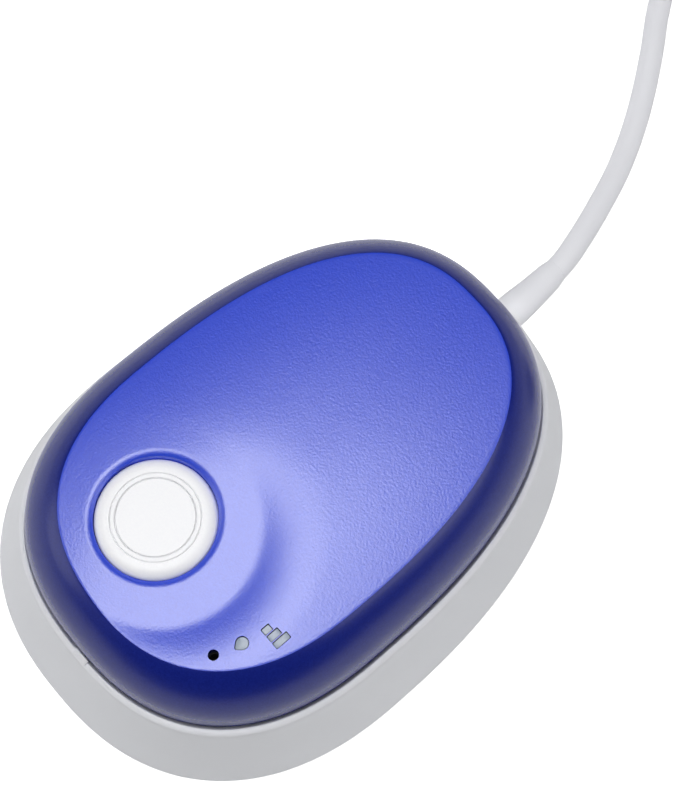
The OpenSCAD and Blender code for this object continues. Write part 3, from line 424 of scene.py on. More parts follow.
finish_node(steel, "plug_shell")
finish_node(filled_nylon, "plug_tongue")
finish_node(gilt, "plug_contacts")

# Cradle shell: a light grey ABS moulding in one wall. Its pocket follows the pendant's underside, its rim
# is rounded over, and its skirt flares out to the table. A small tab on the rim locates the pendant.
pendant_w = 44.0
nose_l = 24.5
tail_l = 36.8
nose_y = -30.05
wide_y = -5.55
outline_power = 2.44
part_z = 11.4
rear_h = 5.8
under_inset = 4.8
wall_lean = 0.02
seat_z = 5.6
pocket_gap = 0.25
pocket_z = 5.2
under_z = 4.2
cavity_z = 7.7
cradle_wall = 1.4
foot_power = 2.34
foot_reach = 4.3
foot_shift = 0.6
rim_reach = 1.0
rim_round = 0.55
rim_bevel = 0.1
rim_z = 10.8
skirt_low_z = 1.1
skirt_high_z = 10.25
plate_z = 0.6
plate_top = 1.8
foot_round = 0.45
boss_inset = 1.0
boss_d = 4.0
boss_hole_d = 1.8
rest_d = 3.0
pin_hole_d = 2.1
outlet_r = 2.15
rest_places = ((-8, -12), (8, -12), (-8, 14), (8, 14))
boss_angles = (35, 145, 215, 325)
contact_places = ((-4, 23.05), (4, 23.05))
outline_steps = 400
outline_turns = np.linspace(0, 2 * math.pi, outline_steps, endpoint=False)


def signed_power(values, power):
    return np.sign(values) * np.abs(values) ** power


def egg(turns, grow=0.0, power=outline_power):
    """The pendant's outline from above, grown outwards by grow, at angles round its widest section."""
    reach = np.where(np.sin(turns) < 0, nose_l, tail_l) + grow
    across = (pendant_w / 2 + grow) * signed_power(np.cos(turns), 2 / power)
    return across, wide_y + reach * signed_power(np.sin(turns), 2 / power)


def outline_row(grow, z, power=outline_power, slip=0.0, turns=outline_turns):
    """One level ring of the egg outline."""
    across, ahead = egg(turns, grow, power)
    return np.stack([across, ahead + slip, np.full(len(across), z)], -1)


def bow(rise, full, inset, power=2.0):
    """How far a bowed wall is drawn in at a rise, when it reaches inset at full rise."""
    return wall_lean * rise + (inset - wall_lean * full) * (rise / full) ** power


def rear_in(depth):
    return bow(depth, rear_h, under_inset)


def pocket_grow(z):
    return pocket_gap - rear_in(part_z - z)


def skirt_row(z, inwards=0.0):
    """Ring of the flared skirt, from the wide foot to the rim."""
    share = min(max((z - skirt_low_z) / (skirt_high_z - skirt_low_z), 0), 1)
    grow = foot_reach + (rim_reach - foot_reach) * share
    power = foot_power + (outline_power - foot_power) * share
    return outline_row(grow - inwards, z, power, -foot_shift * (1 - share))


def quarter(start, end, steps=8):
    """Points of a quarter ellipse between two (grow, height) points, leaving the first one upright."""
    turns = [math.pi / 2 * step / steps for step in range(1, steps + 1)]
    return [(end[0] + (start[0] - end[0]) * math.cos(a), start[1] + (end[1] - start[1]) * math.sin(a))
            for a in turns]


def foot_row(inwards, z):
    return outline_row(foot_reach - inwards, z, foot_power, -foot_shift)


def joined_up(pieces):
    """Several closed skins as one object, to cut or add in one step."""
    work = bmesh.new()
    for piece in pieces:
        work.from_mesh(piece.data)
    mesh = bpy.data.meshes.new("tool")
    work.to_mesh(mesh)
    work.free()
    mesh.materials.append(pieces[0].data.materials[0])
    for piece in pieces:
        bpy.data.objects.remove(piece)
    made = bpy.data.objects.new("tool", mesh)
    bpy.context.scene.collection.objects.link(made)
    return made


def clear_slivers(mesh, width=1e-4 * MM):
    """Closes the faces of no width that a cut can leave along its edge."""
    work = bmesh.new()
    work.from_mesh(mesh)
    bmesh.ops.remove_doubles(work, verts=work.verts, dist=width)
    bmesh.ops.dissolve_degenerate(work, edges=work.edges, dist=width)
    work.to_mesh(mesh)
    work.free()


def work_on(piece, how, tools):
    """Cuts tools out of a piece, or adds them to it, and keeps the result as its mesh."""
    tool = joined_up(tools)
    step = piece.modifiers.new("work", "BOOLEAN")
    step.operation = how
    step.solver = "EXACT"
    step.object = tool
    graph = bpy.context.evaluated_depsgraph_get()
    done = bpy.data.meshes.new_from_object(piece.evaluated_get(graph))
    piece.modifiers.clear()
    clear_slivers(done)
    piece.data = done
    bpy.data.objects.remove(tool)


def rod(x, y, low, high, d, material, steps=48):
    """Upright round tool between two heights."""
    rows = round_rows([(d / 2, low), (d / 2, high)], steps)
    return skin("rod", rows + np.array((x, y, 0)), material)


# Spark-eroded ABS: soft and even, with a very fine matt grain that takes the gloss off broad highlights
abs_grey, tree, place = new_material("spark_eroded_abs")
cloud = add_node(tree, "ShaderNodeTexNoise", {"Vector": place, "Scale": per_metre(14), "Detail": 2.0})
tint = add_node(tree, "ShaderNodeMixRGB", {
    "Fac": cloud.outputs["Fac"], "Color1": colour("#E4E5E8"), "Color2": colour("#EAEBEE")})
# The real grain is about 0.05 mm and would not show: it is drawn at 0.18 mm
eroded = add_node(tree, "ShaderNodeTexNoise", {"Vector": place, "Scale": per_metre(0.18), "Detail": 2.0})
relief = add_node(tree, "ShaderNodeBump", {
    "Height": eroded.outputs["Fac"], "Strength": 0.15, "Distance": 0.03 * MM})
moulding = add_node(tree, "ShaderNodeBsdfPrincipled", {
    "Base Color": tint.outputs["Color"], "Normal": relief.outputs["Normal"], "Roughness": 0.5, "IOR": 1.53})
add_node(tree, "ShaderNodeOutputMaterial", {"Surface": moulding.outputs["BSDF"]})

mid_z = (seat_z + cavity_z) / 2
rim_outer = quarter((rim_reach, skirt_high_z), (rim_reach - rim_round, rim_z))
rim_inner = quarter((pocket_gap, rim_z - rim_bevel), (pocket_gap + rim_bevel, rim_z), 4)[::-1]
cradle_rows = [
    outline_row(pocket_grow(seat_z), under_z),
    outline_row(pocket_grow(seat_z) + cradle_wall, under_z + 0.4),
    outline_row(pocket_grow(mid_z) + cradle_wall, mid_z - 0.4),
    outline_row(pocket_grow(cavity_z) + cradle_wall - 0.6, cavity_z),
    skirt_row(cavity_z, cradle_wall),
    foot_row(cradle_wall, plate_z),
    foot_row(foot_round, plate_z),
]
cradle_rows += [foot_row(foot_round - foot_round * math.sin(a), plate_z + foot_round * (1 - math.cos(a)))
                for a in np.linspace(0.2, math.pi / 2, 7)]
cradle_rows += [skirt_row(z) for z in np.linspace(skirt_low_z, skirt_high_z, 22)]
cradle_rows += [outline_row(grow, z) for grow, z in rim_outer + rim_inner]
cradle_rows += [outline_row(pocket_grow(z), z) for z in np.linspace(rim_z - 0.6, seat_z, 14)]
cradle_rows += [outline_row(pocket_grow(seat_z), pocket_z)]
cradle = skin("cradle_moulding", cradle_rows, abs_grey)
tab_w = 2.0
tab_line = [(nose_y - 0.8, rim_z - 1.2), (nose_y - 0.8, rim_z - 0.05), (nose_y - 0.6, rim_z + 0.2),
            (nose_y - 0.4, rim_z + 0.3), (nose_y - 0.2, rim_z + 0.3), (nose_y - 0.08, rim_z + 0.2),
            (nose_y - 0.05, rim_z - 1.2)]
tab = skin("tab", [[(outlet_x + side * tab_w / 2, y, z) for y, z in tab_line] for side in (-1, 1)], abs_grey)
boss_places = [egg(math.radians(a), -boss_inset) for a in boss_angles]
bosses = [rod(x, y, plate_top, seat_z + 0.4, boss_d, abs_grey) for x, y in boss_places]
rests = [rod(x, y, pocket_z - 0.5, pocket_z + 0.4, rest_d, abs_grey) for x, y in rest_places]
work_on(cradle, "UNION", [tab, *bosses, *rests])
boss_holes = [rod(x, y, plate_top - 1, seat_z - 0.6, boss_hole_d, abs_grey) for x, y in boss_places]
pin_holes = [rod(x, y, under_z - 1, pocket_z + 1, pin_hole_d, abs_grey) for x, y in contact_places]
outlet_rows = turned_to_y(round_rows([(outlet_r, 0), (outlet_r, 7)]), outlet_x, collar_y + 0.8, outlet_z)
work_on(cradle, "DIFFERENCE", [*boss_holes, *pin_holes, skin("outlet", outlet_rows, abs_grey)])
shade(cradle)
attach(cradle, "cradle")
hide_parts("cradle_shell")

# Underside of the cradle: a flat ABS base plate, moulded in the shell's grey. Four steel screws hold it to
# the bosses, and four silicone feet are pressed into it.
# Silicone rubber: nearly black and matt, a little dusty
rubber, tree, place = new_material("silicone_rubber")
dust = add_node(tree, "ShaderNodeTexNoise", {"Vector": place, "Scale": per_metre(1.5), "Detail": 5.0})
tint = add_node(tree, "ShaderNodeMixRGB", {
    "Fac": dust.outputs["Fac"], "Color1": colour("#2A2B2D"), "Color2": colour("#404144")})
soft = add_node(tree, "ShaderNodeBsdfPrincipled", {
    "Base Color": tint.outputs["Color"], "Roughness": 0.7, "IOR": 1.41})
add_node(tree, "ShaderNodeOutputMaterial", {"Surface": soft.outputs["BSDF"]})
finish_node(abs_grey, "cradle_base")
finish_node(rubber, "cradle_feet")
finish_node(steel, "cradle_screws")

# Contacts of the cradle: a small fibre-glass board carries two brass barrels with sprung gilt pins, and
# two insulated wires bring the lead's current to it.
# Solder mask over fibre-glass: glossy green, with the copper tracks standing up a little under it
circuit, tree, place = new_material("solder_masked_fibreglass")
copper = add_node(tree, "ShaderNodeTexBrick", {
    "Vector": place, "Scale": per_metre(4), "Color1": colour("#14532D"), "Color2": colour("#185E34"),
    "Mortar": colour("#2B7A48"), "Mortar Size": 0.012})
lines = add_node(tree, "ShaderNodeBump", {
    "Height": copper.outputs["Fac"], "Strength": 0.3, "Distance": 0.04 * MM})
mask = add_node(tree, "ShaderNodeBsdfPrincipled", {
    "Base Color": copper.outputs["Color"], "Normal": lines.outputs["Normal"], "Roughness": 0.3, "IOR": 1.5})
add_node(tree, "ShaderNodeOutputMaterial", {"Surface": mask.outputs["BSDF"]})
# Wire insulation: drawn red vinyl, even and half-glossy
wire_red, tree, place = new_material("insulated_wire")
stripe = add_node(tree, "ShaderNodeTexNoise", {"Vector": place, "Scale": per_metre(2), "Detail": 2.0})
tint = add_node(tree, "ShaderNodeMixRGB", {
    "Fac": stripe.outputs["Fac"], "Color1": colour("#9E1F1C"), "Color2": colour("#B42A24")})
sheath = add_node(tree, "ShaderNodeBsdfPrincipled", {
    "Base Color": tint.outputs["Color"], "Roughness": 0.4, "IOR": 1.53})
add_node(tree, "ShaderNodeOutputMaterial", {"Surface": sheath.outputs["BSDF"]})
finish_node(circuit, "contact_board")
finish_node(gilt, "pin_barrels", "contact_pin_left", "contact_pin_right")
finish_node(wire_red, "lead_wires")

# Covers' lacquer: a satin clear coat over blue paint with fine aluminium flake. It is pale where it
# mirrors the lamp, deep blue where it doesn't, and the moulding's leathery grain breaks up its gloss.
grain_mm = 0.26
flake_mm = 0.16


def lacquer(name, grain_depth, deep, bright, dullness, mirror):
    """Blue flake lacquer between two shades, over a moulded grain of so many millimetres. The index mirror
    is that of a clear coat, or higher where flakes that lie flat mirror white light too."""
    made, tree, place = new_material(name)
    grain = add_node(tree, "ShaderNodeTexNoise", {
        "Vector": place, "Scale": per_metre(grain_mm), "Detail": 2.5, "Roughness": 0.55})
    relief = add_node(tree, "ShaderNodeBump", {
        "Height": grain.outputs["Fac"], "Strength": 1.0, "Distance": grain_depth * MM})
    # The real flakes are about 0.02 mm and would not show: they are drawn at flake_mm
    flakes = add_node(tree, "ShaderNodeTexVoronoi", {"Vector": place, "Scale": per_metre(flake_mm)})
    spread = add_node(tree, "ShaderNodeSeparateColor", {"Color": flakes.outputs["Color"]})
    tint = add_node(tree, "ShaderNodeMixRGB", {
        "Fac": spread.outputs["Red"], "Color1": colour(deep), "Color2": colour(bright)})
    paint = add_node(tree, "ShaderNodeBsdfPrincipled", {
        "Base Color": tint.outputs["Color"], "Normal": relief.outputs["Normal"], "Roughness": dullness,
        "IOR": mirror})
    add_node(tree, "ShaderNodeOutputMaterial", {"Surface": paint.outputs["BSDF"]})
    return made


grained_lacquer = lacquer("grained_blue_lacquer", 0.029, "#173DD0", "#1D45D8", 0.37, 2.02)
# The smooth lacquer is the same blue paint drawn a darker navy: painted shade, for the surfaces that turn
# away from the lamp.
smooth_shaded_lacquer = lacquer("smooth_shaded_blue_lacquer", 0.002, "#0E1C74", "#13227E", 0.27, 1.5)

# Rear cover: a shallow ABS bowl, moulded and lacquered blue, whose tongue reaches up into the front
# cover. Its floor has the loudspeaker's holes and two holes for the charging contacts.
lip_t = 1.0
cover_fit = 0.05
tongue_h = 1.2
cover_wall = 1.8
floor_t = 1.5
edge_break = 0.12
speaker_y = -17.55
sound_hole_d = 1.2
contact_hole_d = 3.0
rear_levels = [(-rear_in(depth), part_z - depth) for depth in np.linspace(rear_h, edge_break, 26)]
rear_levels += [(-edge_break, part_z), (-lip_t - cover_fit, part_z), (-lip_t - cover_fit, part_z + tongue_h),
                (-cover_wall, part_z + tongue_h)]
rear_levels += [(-rear_in(depth) - cover_wall, part_z - depth)
                for depth in np.linspace(0, rear_h - floor_t, 8)]
# The rear cover takes the smooth lacquer, whose darker navy is painted shade.
rear_cover = skin("rear_cover_moulding", [outline_row(grow, z) for grow, z in rear_levels], smooth_shaded_lacquer)
sound_places = [(0.0, speaker_y)]
for ring_r, ring_count in ((2.0, 6), (4.0, 12)):
    for at in range(ring_count):
        angle = 2 * math.pi * at / ring_count
        sound_places.append((ring_r * math.cos(angle), speaker_y + ring_r * math.sin(angle)))
through_floor = (seat_z - 1, seat_z + floor_t + 1)
sound_holes = [rod(x, y, *through_floor, sound_hole_d, smooth_shaded_lacquer, 24) for x, y in sound_places]
contact_holes = [rod(x, y, *through_floor, contact_hole_d, smooth_shaded_lacquer) for x, y in contact_places]
work_on(rear_cover, "DIFFERENCE", sound_holes + contact_holes)
shade(rear_cover)
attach(rear_cover, "pendant")
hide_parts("rear_cover")

# Front cover: an ABS shell, moulded and lacquered blue. Its domed top face is let down into a tilted dish
# round the button, whose rounded lip leads into the button's well.
edge_z = 19.2
side_h = 7.8
side_power = 2.6
edge_inset = 3.9
edge_slip = 0.35
crown_h = 1.4
ceiling_z = 17.8
ceiling_crown = 1.15
ceiling_inset = 5.2
groove_h = 1.8
button_x = -3.62
button_y = -15.25
bore_r = 6.75
lip_r = 7.65
lip_round = 1.3
well_r = 8.35
well_z = 15.8
seal_z = 16.3
seal_h = 0.9
seal_w = 0.8
dish_r = 10.85
dish_middle = (-2.4, -15.45)
dish_drop = 0.32
dish_tilt = math.radians(6.2)
dish_lean = math.radians(-34)
bank_w = 7.4
bank_narrows = 4.0
crease_w = 0.6
dish_blend = 0.5
edge_round = 0.9
edge_start = 0.45
edge_grained = 2
face_rows = 120
halvings = 45


def egg_share(x, y, inset):
    """Distance from the middle of the widest section, as a share of the way to the inset outline. The top
    face lies a little nearer to the cord than the outline of the covers' joint."""
    ahead = y - wide_y - edge_slip
    along = np.abs(ahead) / (np.where(ahead < 0, nose_l, tail_l) - inset)
    across = np.abs(x) / (pendant_w / 2 - inset)
    return (across ** outline_power + along ** outline_power) ** (1 / outline_power)


def dome(x, y):
    return edge_z + crown_h * (1 - egg_share(x, y, edge_inset) ** 2)


dish_z = float(dome(button_x, button_y)) - dish_drop


def top_face(x, y):
    """Height of the top face: the dome, let down to a tilted pad round the button. A bank leads back up
    from the pad into the dome, and is narrower towards the button end."""
    ahead = (x - button_x) * math.cos(dish_lean) + (y - button_y) * math.sin(dish_lean)
    over = dome(x, y)
    lower = over - dish_z + math.tan(dish_tilt) * ahead
    drop = (lower + np.sqrt(lower ** 2 + dish_blend ** 2)) / 2
    reach = np.hypot(x - dish_middle[0], y - dish_middle[1])
    beyond = reach - dish_r
    width = bank_w - bank_narrows * np.clip((dish_middle[1] - y) / reach, 0, 1) ** 2
    rise = np.clip((beyond + np.sqrt(beyond ** 2 + crease_w ** 2)) / 2 / width, 0, 1)
    return over - drop * (1 - rise) ** 2


def reach_to(inset):
    """Distance from the button's axis to the inset outline, in each direction of the rings."""
    near = np.zeros(outline_steps)
    far = np.full(outline_steps, 2 * tail_l)
    for _ in range(halvings):
        middle = (near + far) / 2
        inside = egg_share(button_x + middle * ray_x, button_y + middle * ray_y, inset) < 1
        near = np.where(inside, middle, near)
        far = np.where(inside, far, middle)
    return near


def side_in(rise):
    return bow(rise, side_h, edge_inset, side_power)


def wall_row(rise, inwards=0.0):
    """Ring of the side wall at a rise above the covers' joint; its points face those of the edge."""
    slip = edge_slip * (rise / side_h) ** 2
    return outline_row(-side_in(rise) - inwards, part_z + rise, slip=slip, turns=edge_turns)


def ray_row(reach, height):
    """Ring at a distance from the button's axis; height is a number or a function of x and y."""
    x = button_x + reach * ray_x
    y = button_y + reach * ray_y
    z = height(x, y) if callable(height) else np.full(outline_steps, height)
    return np.stack([x, y, z], -1)


def lip_height(x, y):
    """The lip falls away from the dish's level in a rounded edge."""
    inwards = lip_r - np.hypot(x - button_x, y - button_y)
    return top_face(x, y) - lip_round + np.sqrt(lip_round ** 2 - inwards ** 2)


def ceiling(x, y):
    return ceiling_z + ceiling_crown * (1 - egg_share(x, y, ceiling_inset) ** 2)


ray_x = np.cos(outline_turns)
ray_y = np.sin(outline_turns)
# The side wall ends where it meets the top face: lower where the dish runs out over the edge
edge_in = np.full(outline_steps, edge_inset)
for _ in range(5):
    edge_reach = reach_to(edge_in)
    edge_x = button_x + edge_reach * ray_x
    edge_y = button_y + edge_reach * ray_y
    edge_rise = np.minimum(top_face(edge_x, edge_y) - part_z, side_h)
    edge_in = side_in(edge_rise)
edge_ahead = edge_y - wide_y - edge_slip
edge_along = edge_ahead / (np.where(edge_ahead < 0, nose_l, tail_l) - edge_in)
edge_turns = np.arctan2(signed_power(edge_along, outline_power / 2),
                        signed_power(edge_x / (pendant_w / 2 - edge_in), outline_power / 2))
face_end = edge_reach - edge_start
face = [ray_row(np.full(outline_steps, lip_r) + (face_end - lip_r) * share ** 1.5, top_face)
        for share in np.linspace(0, 1, face_rows)]
corner_row = ray_row(edge_reach, top_face)
side_top = wall_row(edge_rise - edge_round)
edge_rows = [(1 - t) ** 2 * face[-1] + 2 * t * (1 - t) * corner_row + t * t * side_top
             for t in np.linspace(0.1, 0.9, 9)]
side = [wall_row(edge_break + (edge_rise - edge_round - edge_break) * share)
        for share in np.linspace(1, 0, 34)]
joint_levels = [(-edge_break, part_z), (-lip_t, part_z), (-lip_t, part_z + groove_h)]
side += [outline_row(grow, z, turns=edge_turns) for grow, z in joint_levels]
side += [wall_row(rise, cover_wall) for rise in np.linspace(groove_h, side_h - 2.4, 6)]
ceiling_reach = reach_to(ceiling_inset)
under = [ray_row(ceiling_reach + (well_r - ceiling_reach) * share, ceiling)
         for share in np.linspace(0, 1, 12)]
well_levels = [(well_r, well_z), (bore_r, well_z), (bore_r, seal_z), (bore_r + seal_w, seal_z),
               (bore_r + seal_w, seal_z + seal_h), (bore_r, seal_z + seal_h)]
well = [ray_row(np.full(outline_steps, r), z) for r, z in well_levels]
lip_reaches = lip_r - lip_round * np.sin(np.linspace(math.asin((lip_r - bore_r) / lip_round), 0.12, 9))
lip = [ray_row(np.full(outline_steps, r), lip_height) for r in lip_reaches]
cover_rows = face + edge_rows + side + under + well + lip
front_cover = skin("front_cover_moulding", cover_rows, grained_lacquer, joined=True)
# The edge's rounding, the side walls, the underside and the well take the smooth lacquer, whose darker navy
# is painted shade; the top face and the lip take the grained one.
front_cover.data.materials.append(smooth_shaded_lacquer)
grained_rows = face_rows - 1 + edge_grained
shaded_smooth_rows = len(edge_rows + side + under + well) - edge_grained
row_lacquer_and_shade = [0] * grained_rows + [1] * shaded_smooth_rows + [0] * (len(lip) + 1)
front_cover.data.polygons.foreach_set("material_index", np.repeat(row_lacquer_and_shade, outline_steps))

# Openings of the front cover: a round microphone hole and four light windows, a drop and three bars. They
# are moulded straight through the top face.
mic_place = (11.7, -20.05)
mic_hole_d = 1.2
drop_place = (12.74, -17.0)
drop_d = 1.35
bars_x = 13.38
bars_y = -14.62
bar_pitch = 0.93
bar_w = 0.7
bar_l = 0.95
bar_step = 0.45
window_gap = 0.07


def drop_outline(grow):
    """A disc with one square corner towards the button end."""
    r = drop_d / 2 + grow
    turns = np.radians(np.linspace(-45, 225, 40))
    points = [(r * math.cos(a), r * math.sin(a)) for a in turns] + [(-0.12, -1.3 * r), (0.12, -1.3 * r)]
    return [(drop_place[0] + x, drop_place[1] + y) for x, y in points]


def bar_outline(index, grow, r=0.12):
    """An upright bar with small round corners."""
    half_w = bar_w / 2 + grow - r
    half_l = (bar_l + index * bar_step) / 2 + grow - r
    middle = (bars_x + index * bar_pitch, bars_y + (bar_l + index * bar_step) / 2)
    points = []
    for side_x, side_y, start in ((1, 1, 0), (-1, 1, 90), (-1, -1, 180), (1, -1, 270)):
        for step in range(5):
            a = math.radians(start + 22.5 * step)
            points.append((middle[0] + side_x * half_w + r * math.cos(a),
                           middle[1] + side_y * half_l + r * math.sin(a)))
    return points


def window_outlines(grow):
    return [drop_outline(grow)] + [bar_outline(index, grow) for index in range(3)]


def upright(outline, low, high, material):
    """Upright bar on an outline, between two heights."""
    return skin("bar", [[(x, y, z) for x, y in outline] for z in (low, high)], material)


window_cuts = [upright(outline, ceiling_z - 1, edge_z + 2, smooth_shaded_lacquer)
               for outline in window_outlines(window_gap)]
mic_cut = rod(*mic_place, ceiling_z - 2.6, edge_z + 2, mic_hole_d, smooth_shaded_lacquer)
work_on(front_cover, "DIFFERENCE", [mic_cut, *window_cuts])
shade(front_cover, 50)
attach(front_cover, "pendant")
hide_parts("front_cover")

# Light guide: one clear polycarbonate moulding. Its four frosted ends stand in the windows, just below the
# top face, and a thin plate joins its posts above the lamps.
guide_z = 14.9
guide_t = 0.8
guide_low_z = 13.9
guide_sunk = 0.16
guide_break = 0.04
guide_drawn_in = 0.9
# Frosted polycarbonate: pale and grey-blue, a soft gloss with no clear sight into it
frosted, tree, place = new_material("frosted_polycarbonate")
frost = add_node(tree, "ShaderNodeTexNoise", {"Vector": place, "Scale": per_metre(0.2), "Detail": 2.0})
tint = add_node(tree, "ShaderNodeMixRGB", {
    "Fac": frost.outputs["Fac"], "Color1": colour("#9AA6B6"), "Color2": colour("#A6B2C0")})
clear = add_node(tree, "ShaderNodeBsdfPrincipled", {
    "Base Color": tint.outputs["Color"], "Roughness": 0.35, "IOR": 1.58})
add_node(tree, "ShaderNodeOutputMaterial", {"Surface": clear.outputs["BSDF"]})


def window_rows(outline):
    """A guide's post, whose end follows the top face with a small broken edge."""
    x, y = np.array(outline).T
    middle_x, middle_y = x.mean(), y.mean()
    top = top_face(x, y) - guide_sunk
    inner_x = middle_x + guide_drawn_in * (x - middle_x)
    inner_y = middle_y + guide_drawn_in * (y - middle_y)
    return [np.stack([x, y, np.full(len(x), guide_low_z)], -1), np.stack([x, y, top - guide_break], -1),
            np.stack([inner_x, inner_y, top_face(inner_x, inner_y) - guide_sunk], -1)]


plate_outline = [(11.55, -18.1), (16.4, -18.1), (16.4, -12.1), (11.55, -12.1)]
guide = upright(plate_outline, guide_z, guide_z + guide_t, frosted)
guide.name = "light_guide_moulding"
work_on(guide, "UNION", [skin("window", window_rows(outline), frosted) for outline in window_outlines(0)])
shade(guide)
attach(guide, "pendant")
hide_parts("light_guide")

# Call button: an ABS cap, moulded and lacquered in pearl white. Its rim is rounded over, two fine rings
# are engraved round the bare middle, and a flange under the well keeps it in.
button_r = 6.7
button_top = dish_z - 0.25
button_round = (1.3, 1.1)
flange_r = 7.65
flange_t = 0.8
cap_wall = 1.1
cap_top_t = 1.4
stem_r = 1.6
stem_z = 15.4
engraved_rings = ((4.92, 0.2, 0.3), (4.35, 0.22, 0.4))
button_profile = [(stem_r * 0.5, stem_z), (stem_r, stem_z), (stem_r, button_top - cap_top_t),
                  (button_r - cap_wall, button_top - cap_top_t), (button_r - cap_wall, well_z - flange_t),
                  (flange_r, well_z - flange_t), (flange_r, well_z), (button_r, well_z),
                  (button_r, button_top - button_round[1])]
button_profile += [
    (button_r - button_round[0] * (1 - math.cos(a)), button_top - button_round[1] * (1 - math.sin(a)))
    for a in np.linspace(0.1, math.pi / 2, 14)]
for line_r, line_w, line_depth in engraved_rings:
    button_profile += [(line_r + line_w / 2, button_top), (line_r, button_top - line_depth),
                       (line_r - line_w / 2, button_top)]
button_profile += [(3.0, button_top), (1.5, button_top), (0.4, button_top)]

# Pearl lacquer: a clean white with a soft gloss. Its flakes are far finer than a pixel, so they are drawn
# at flake_mm, as a faint sparkle
pearl, tree, place = new_material("pearl_white_lacquer")
flakes = add_node(tree, "ShaderNodeTexVoronoi", {"Vector": place, "Scale": per_metre(flake_mm)})
spread = add_node(tree, "ShaderNodeSeparateColor", {"Color": flakes.outputs["Color"]})
tint = add_node(tree, "ShaderNodeMixRGB", {
    "Fac": spread.outputs["Red"], "Color1": colour("#F9F9FB"), "Color2": colour("#FCFCFD")})
paint = add_node(tree, "ShaderNodeBsdfPrincipled", {
    "Base Color": tint.outputs["Color"], "Roughness": 0.4, "IOR": 1.5})
add_node(tree, "ShaderNodeOutputMaterial", {"Surface": paint.outputs["BSDF"]})
button_rows = round_rows(button_profile, 192) + np.array((button_x, button_y, 0))
button = skin("call_button_cap", button_rows, pearl)
shade(button, 30)
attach(button, "button")
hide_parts("call_button")

# Inside the pendant: a populated board with its screws, a push switch, lamps and microphone, the radio
# can and two antennas, a pouch cell on an adhesive pad, and a loudspeaker behind its mesh.
# Black glass-filled nylon: dull, dense and slightly mottled
dark_nylon, tree, place = new_material("black_filled_nylon")
mottle = add_node(tree, "ShaderNodeTexNoise", {"Vector": place, "Scale": per_metre(0.5), "Detail": 3.0})
tint = add_node(tree, "ShaderNodeMixRGB", {
    "Fac": mottle.outputs["Fac"], "Color1": colour("#1C1D1F"), "Color2": colour("#2B2C2E")})
moulding = add_node(tree, "ShaderNodeBsdfPrincipled", {
    "Base Color": tint.outputs["Color"], "Roughness": 0.5, "IOR": 1.53})
add_node(tree, "ShaderNodeOutputMaterial", {"Surface": moulding.outputs["BSDF"]})
# Lamp epoxy: a pale yellow, glossy cast resin with a little haze
resin, tree, place = new_material("lamp_epoxy")
haze = add_node(tree, "ShaderNodeTexNoise", {"Vector": place, "Scale": per_metre(0.3), "Detail": 2.0})
tint = add_node(tree, "ShaderNodeMixRGB", {
    "Fac": haze.outputs["Fac"], "Color1": colour("#E8E0A8"), "Color2": colour("#F4F0D0")})
lens = add_node(tree, "ShaderNodeBsdfPrincipled", {
    "Base Color": tint.outputs["Color"], "Roughness": 0.2, "IOR": 1.5})
add_node(tree, "ShaderNodeOutputMaterial", {"Surface": lens.outputs["BSDF"]})
# Fired ceramic: a sandy matt block with a fine grit
fired, tree, place = new_material("fired_ceramic")
grit = add_node(tree, "ShaderNodeTexNoise", {"Vector": place, "Scale": per_metre(0.3), "Detail": 4.0})
tint = add_node(tree, "ShaderNodeMixRGB", {
    "Fac": grit.outputs["Fac"], "Color1": colour("#B59A78"), "Color2": colour("#CDB593")})
body = add_node(tree, "ShaderNodeBsdfPrincipled", {
    "Base Color": tint.outputs["Color"], "Roughness": 0.6, "IOR": 1.7})
add_node(tree, "ShaderNodeOutputMaterial", {"Surface": body.outputs["BSDF"]})
# Laminated foil: dull silver, gently creased where the pouch is sealed
foil, tree, place = new_material("laminated_foil")
crease = add_node(tree, "ShaderNodeTexNoise", {"Vector": place, "Scale": per_metre(5), "Detail": 4.0})
folds = add_node(tree, "ShaderNodeBump", {
    "Height": crease.outputs["Fac"], "Strength": 0.5, "Distance": 0.2 * MM})
film = add_node(tree, "ShaderNodeBsdfPrincipled", {
    "Base Color": colour("#B9BCC0"), "Normal": folds.outputs["Normal"], "Roughness": 0.35, "Metallic": 0.9})
add_node(tree, "ShaderNodeOutputMaterial", {"Surface": film.outputs["BSDF"]})
# Adhesive foam: a matt straw-coloured sheet with fine open cells
foam, tree, place = new_material("adhesive_foam")
cells = add_node(tree, "ShaderNodeTexVoronoi", {"Vector": place, "Scale": per_metre(0.4)})
tint = add_node(tree, "ShaderNodeMixRGB", {
    "Fac": cells.outputs["Distance"], "Color1": colour("#D8CC9A"), "Color2": colour("#B8AA78")})
pad = add_node(tree, "ShaderNodeBsdfPrincipled", {
    "Base Color": tint.outputs["Color"], "Roughness": 0.85, "IOR": 1.45})
add_node(tree, "ShaderNodeOutputMaterial", {"Surface": pad.outputs["BSDF"]})
finish_node(circuit, "main_board")
finish_node(steel, "board_screws", "radio_shield")
# The microphone is drawn in the black nylon rather than in steel: painted shade that keeps the bottom of the
# microphone hole dark.
finish_node(dark_nylon, "switch_body", "switch_plunger", "microphone", "speaker", "speaker_mesh")
finish_node(resin, "status_leds")
finish_node(gilt, "cell_antenna", "charge_contacts")
finish_node(fired, "gps_antenna")
finish_node(foil, "battery")
finish_node(foam, "battery_pad")
finish_node(rubber, "cover_gasket", "button_seal", "mic_boot")

# Table: a wide plain white sheet. The camera sees it white, the gloss sees it pale, and it keeps the
# object's shadow.
floor_half = 6.0
floor_mesh = bpy.data.meshes.new("table")
floor_corners = [(x * floor_half, y * floor_half, 0) for x, y in ((-1, -1), (1, -1), (1, 1), (-1, 1))]
floor_mesh.from_pydata(floor_corners, [], [(0, 1, 2, 3)])
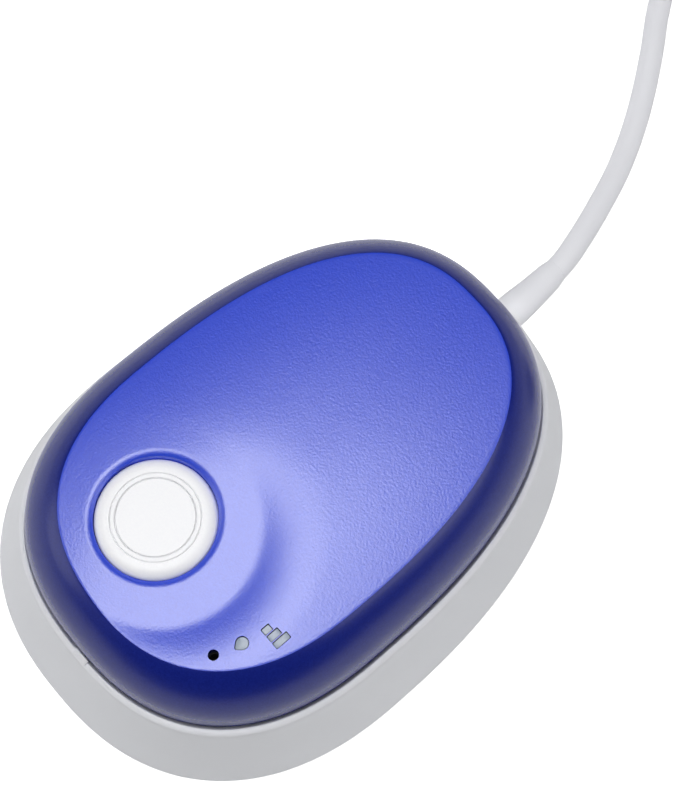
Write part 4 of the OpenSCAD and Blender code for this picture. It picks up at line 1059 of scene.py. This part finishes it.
# White paper: matt and even
paper, tree, place = new_material("white_paper")
matt = add_node(tree, "ShaderNodeBsdfDiffuse", {"Color": colour("#F4F4F4")})
rays = add_node(tree, "ShaderNodeLightPath")
mirrored = add_node(tree, "ShaderNodeMath", {0: rays.outputs["Is Glossy Ray"], 1: 0.2}, operation="MULTIPLY")
whiteness = add_node(tree, "ShaderNodeMath", {
    0: rays.outputs["Is Camera Ray"], 1: 0.8, 2: mirrored.outputs["Value"]}, operation="MULTIPLY_ADD")
glow = add_node(tree, "ShaderNodeEmission", {
    "Color": colour("#FFFFFF"), "Strength": whiteness.outputs["Value"]})
sheet = add_node(tree, "ShaderNodeAddShader", {0: matt.outputs["BSDF"], 1: glow.outputs["Emission"]})
add_node(tree, "ShaderNodeOutputMaterial", {"Surface": sheet.outputs["Shader"]})
floor_mesh.materials.append(paper)
table = bpy.data.objects.new("table", floor_mesh)
bpy.context.scene.collection.objects.link(table)

# Light: a softbox overhead and a weaker, wide one on each side, in a dim room with a low white card bent
# round the far side of the table.
light_aim = Vector((0.0, 0.0, 10.0))
card_side = (-0.8, 0.6, 0.0)


def softbox(name, comes_from, distance, size, watts):
    """A round softbox of so many millimetres, turned to the middle of the object."""
    comes_from = Vector(comes_from).normalized()
    lamp = bpy.data.lights.new(name, "AREA")
    lamp.shape = "DISK"
    lamp.size = size * MM
    lamp.energy = watts
    placed = bpy.data.objects.new(name, lamp)
    placed.location = (light_aim + distance * comes_from) * MM
    placed.rotation_euler = comes_from.to_track_quat("Z", "Y").to_euler()
    bpy.context.scene.collection.objects.link(placed)


softbox("softbox_overhead", (-0.035, -0.045, 1.0), 450, 290, 1.42)
softbox("softbox_right", (0.68, 0.35, 0.6), 600, 400, 0.75)
softbox("softbox_left", (-0.6, -0.75, 0.45), 600, 400, 0.6)
room = bpy.data.worlds.new("room")
room.use_nodes = True
room.node_tree.nodes.clear()
tree = room.node_tree
towards = add_node(tree, "ShaderNodeTexCoord")
parts = add_node(tree, "ShaderNodeSeparateXYZ", {"Vector": towards.outputs["Generated"]})
card_top = add_node(tree, "ShaderNodeMapRange", {
    "Value": parts.outputs["Z"], "From Min": 0.08, "From Max": 0.4, "To Min": 1.0, "To Max": 0.0},
    interpolation_type="SMOOTHSTEP")
facing = add_node(tree, "ShaderNodeVectorMath", {
    0: towards.outputs["Generated"], 1: card_side}, operation="DOT_PRODUCT")
card_end = add_node(tree, "ShaderNodeMapRange", {
    "Value": facing.outputs["Value"], "From Min": -0.9, "From Max": 0.3}, interpolation_type="SMOOTHSTEP")
card = add_node(tree, "ShaderNodeMath", {
    0: card_top.outputs["Result"], 1: card_end.outputs["Result"]}, operation="MULTIPLY")
air = add_node(tree, "ShaderNodeMixRGB", {
    "Fac": card.outputs["Value"], "Color1": colour("#2A2C32"), "Color2": colour("#D4D6DC")})
background = add_node(tree, "ShaderNodeBackground", {"Color": air.outputs["Color"], "Strength": 1.0})
add_node(tree, "ShaderNodeOutputWorld", {"Surface": background.outputs["Background"]})
bpy.context.scene.world = room
bpy.context.scene.view_settings.view_transform = "Standard"
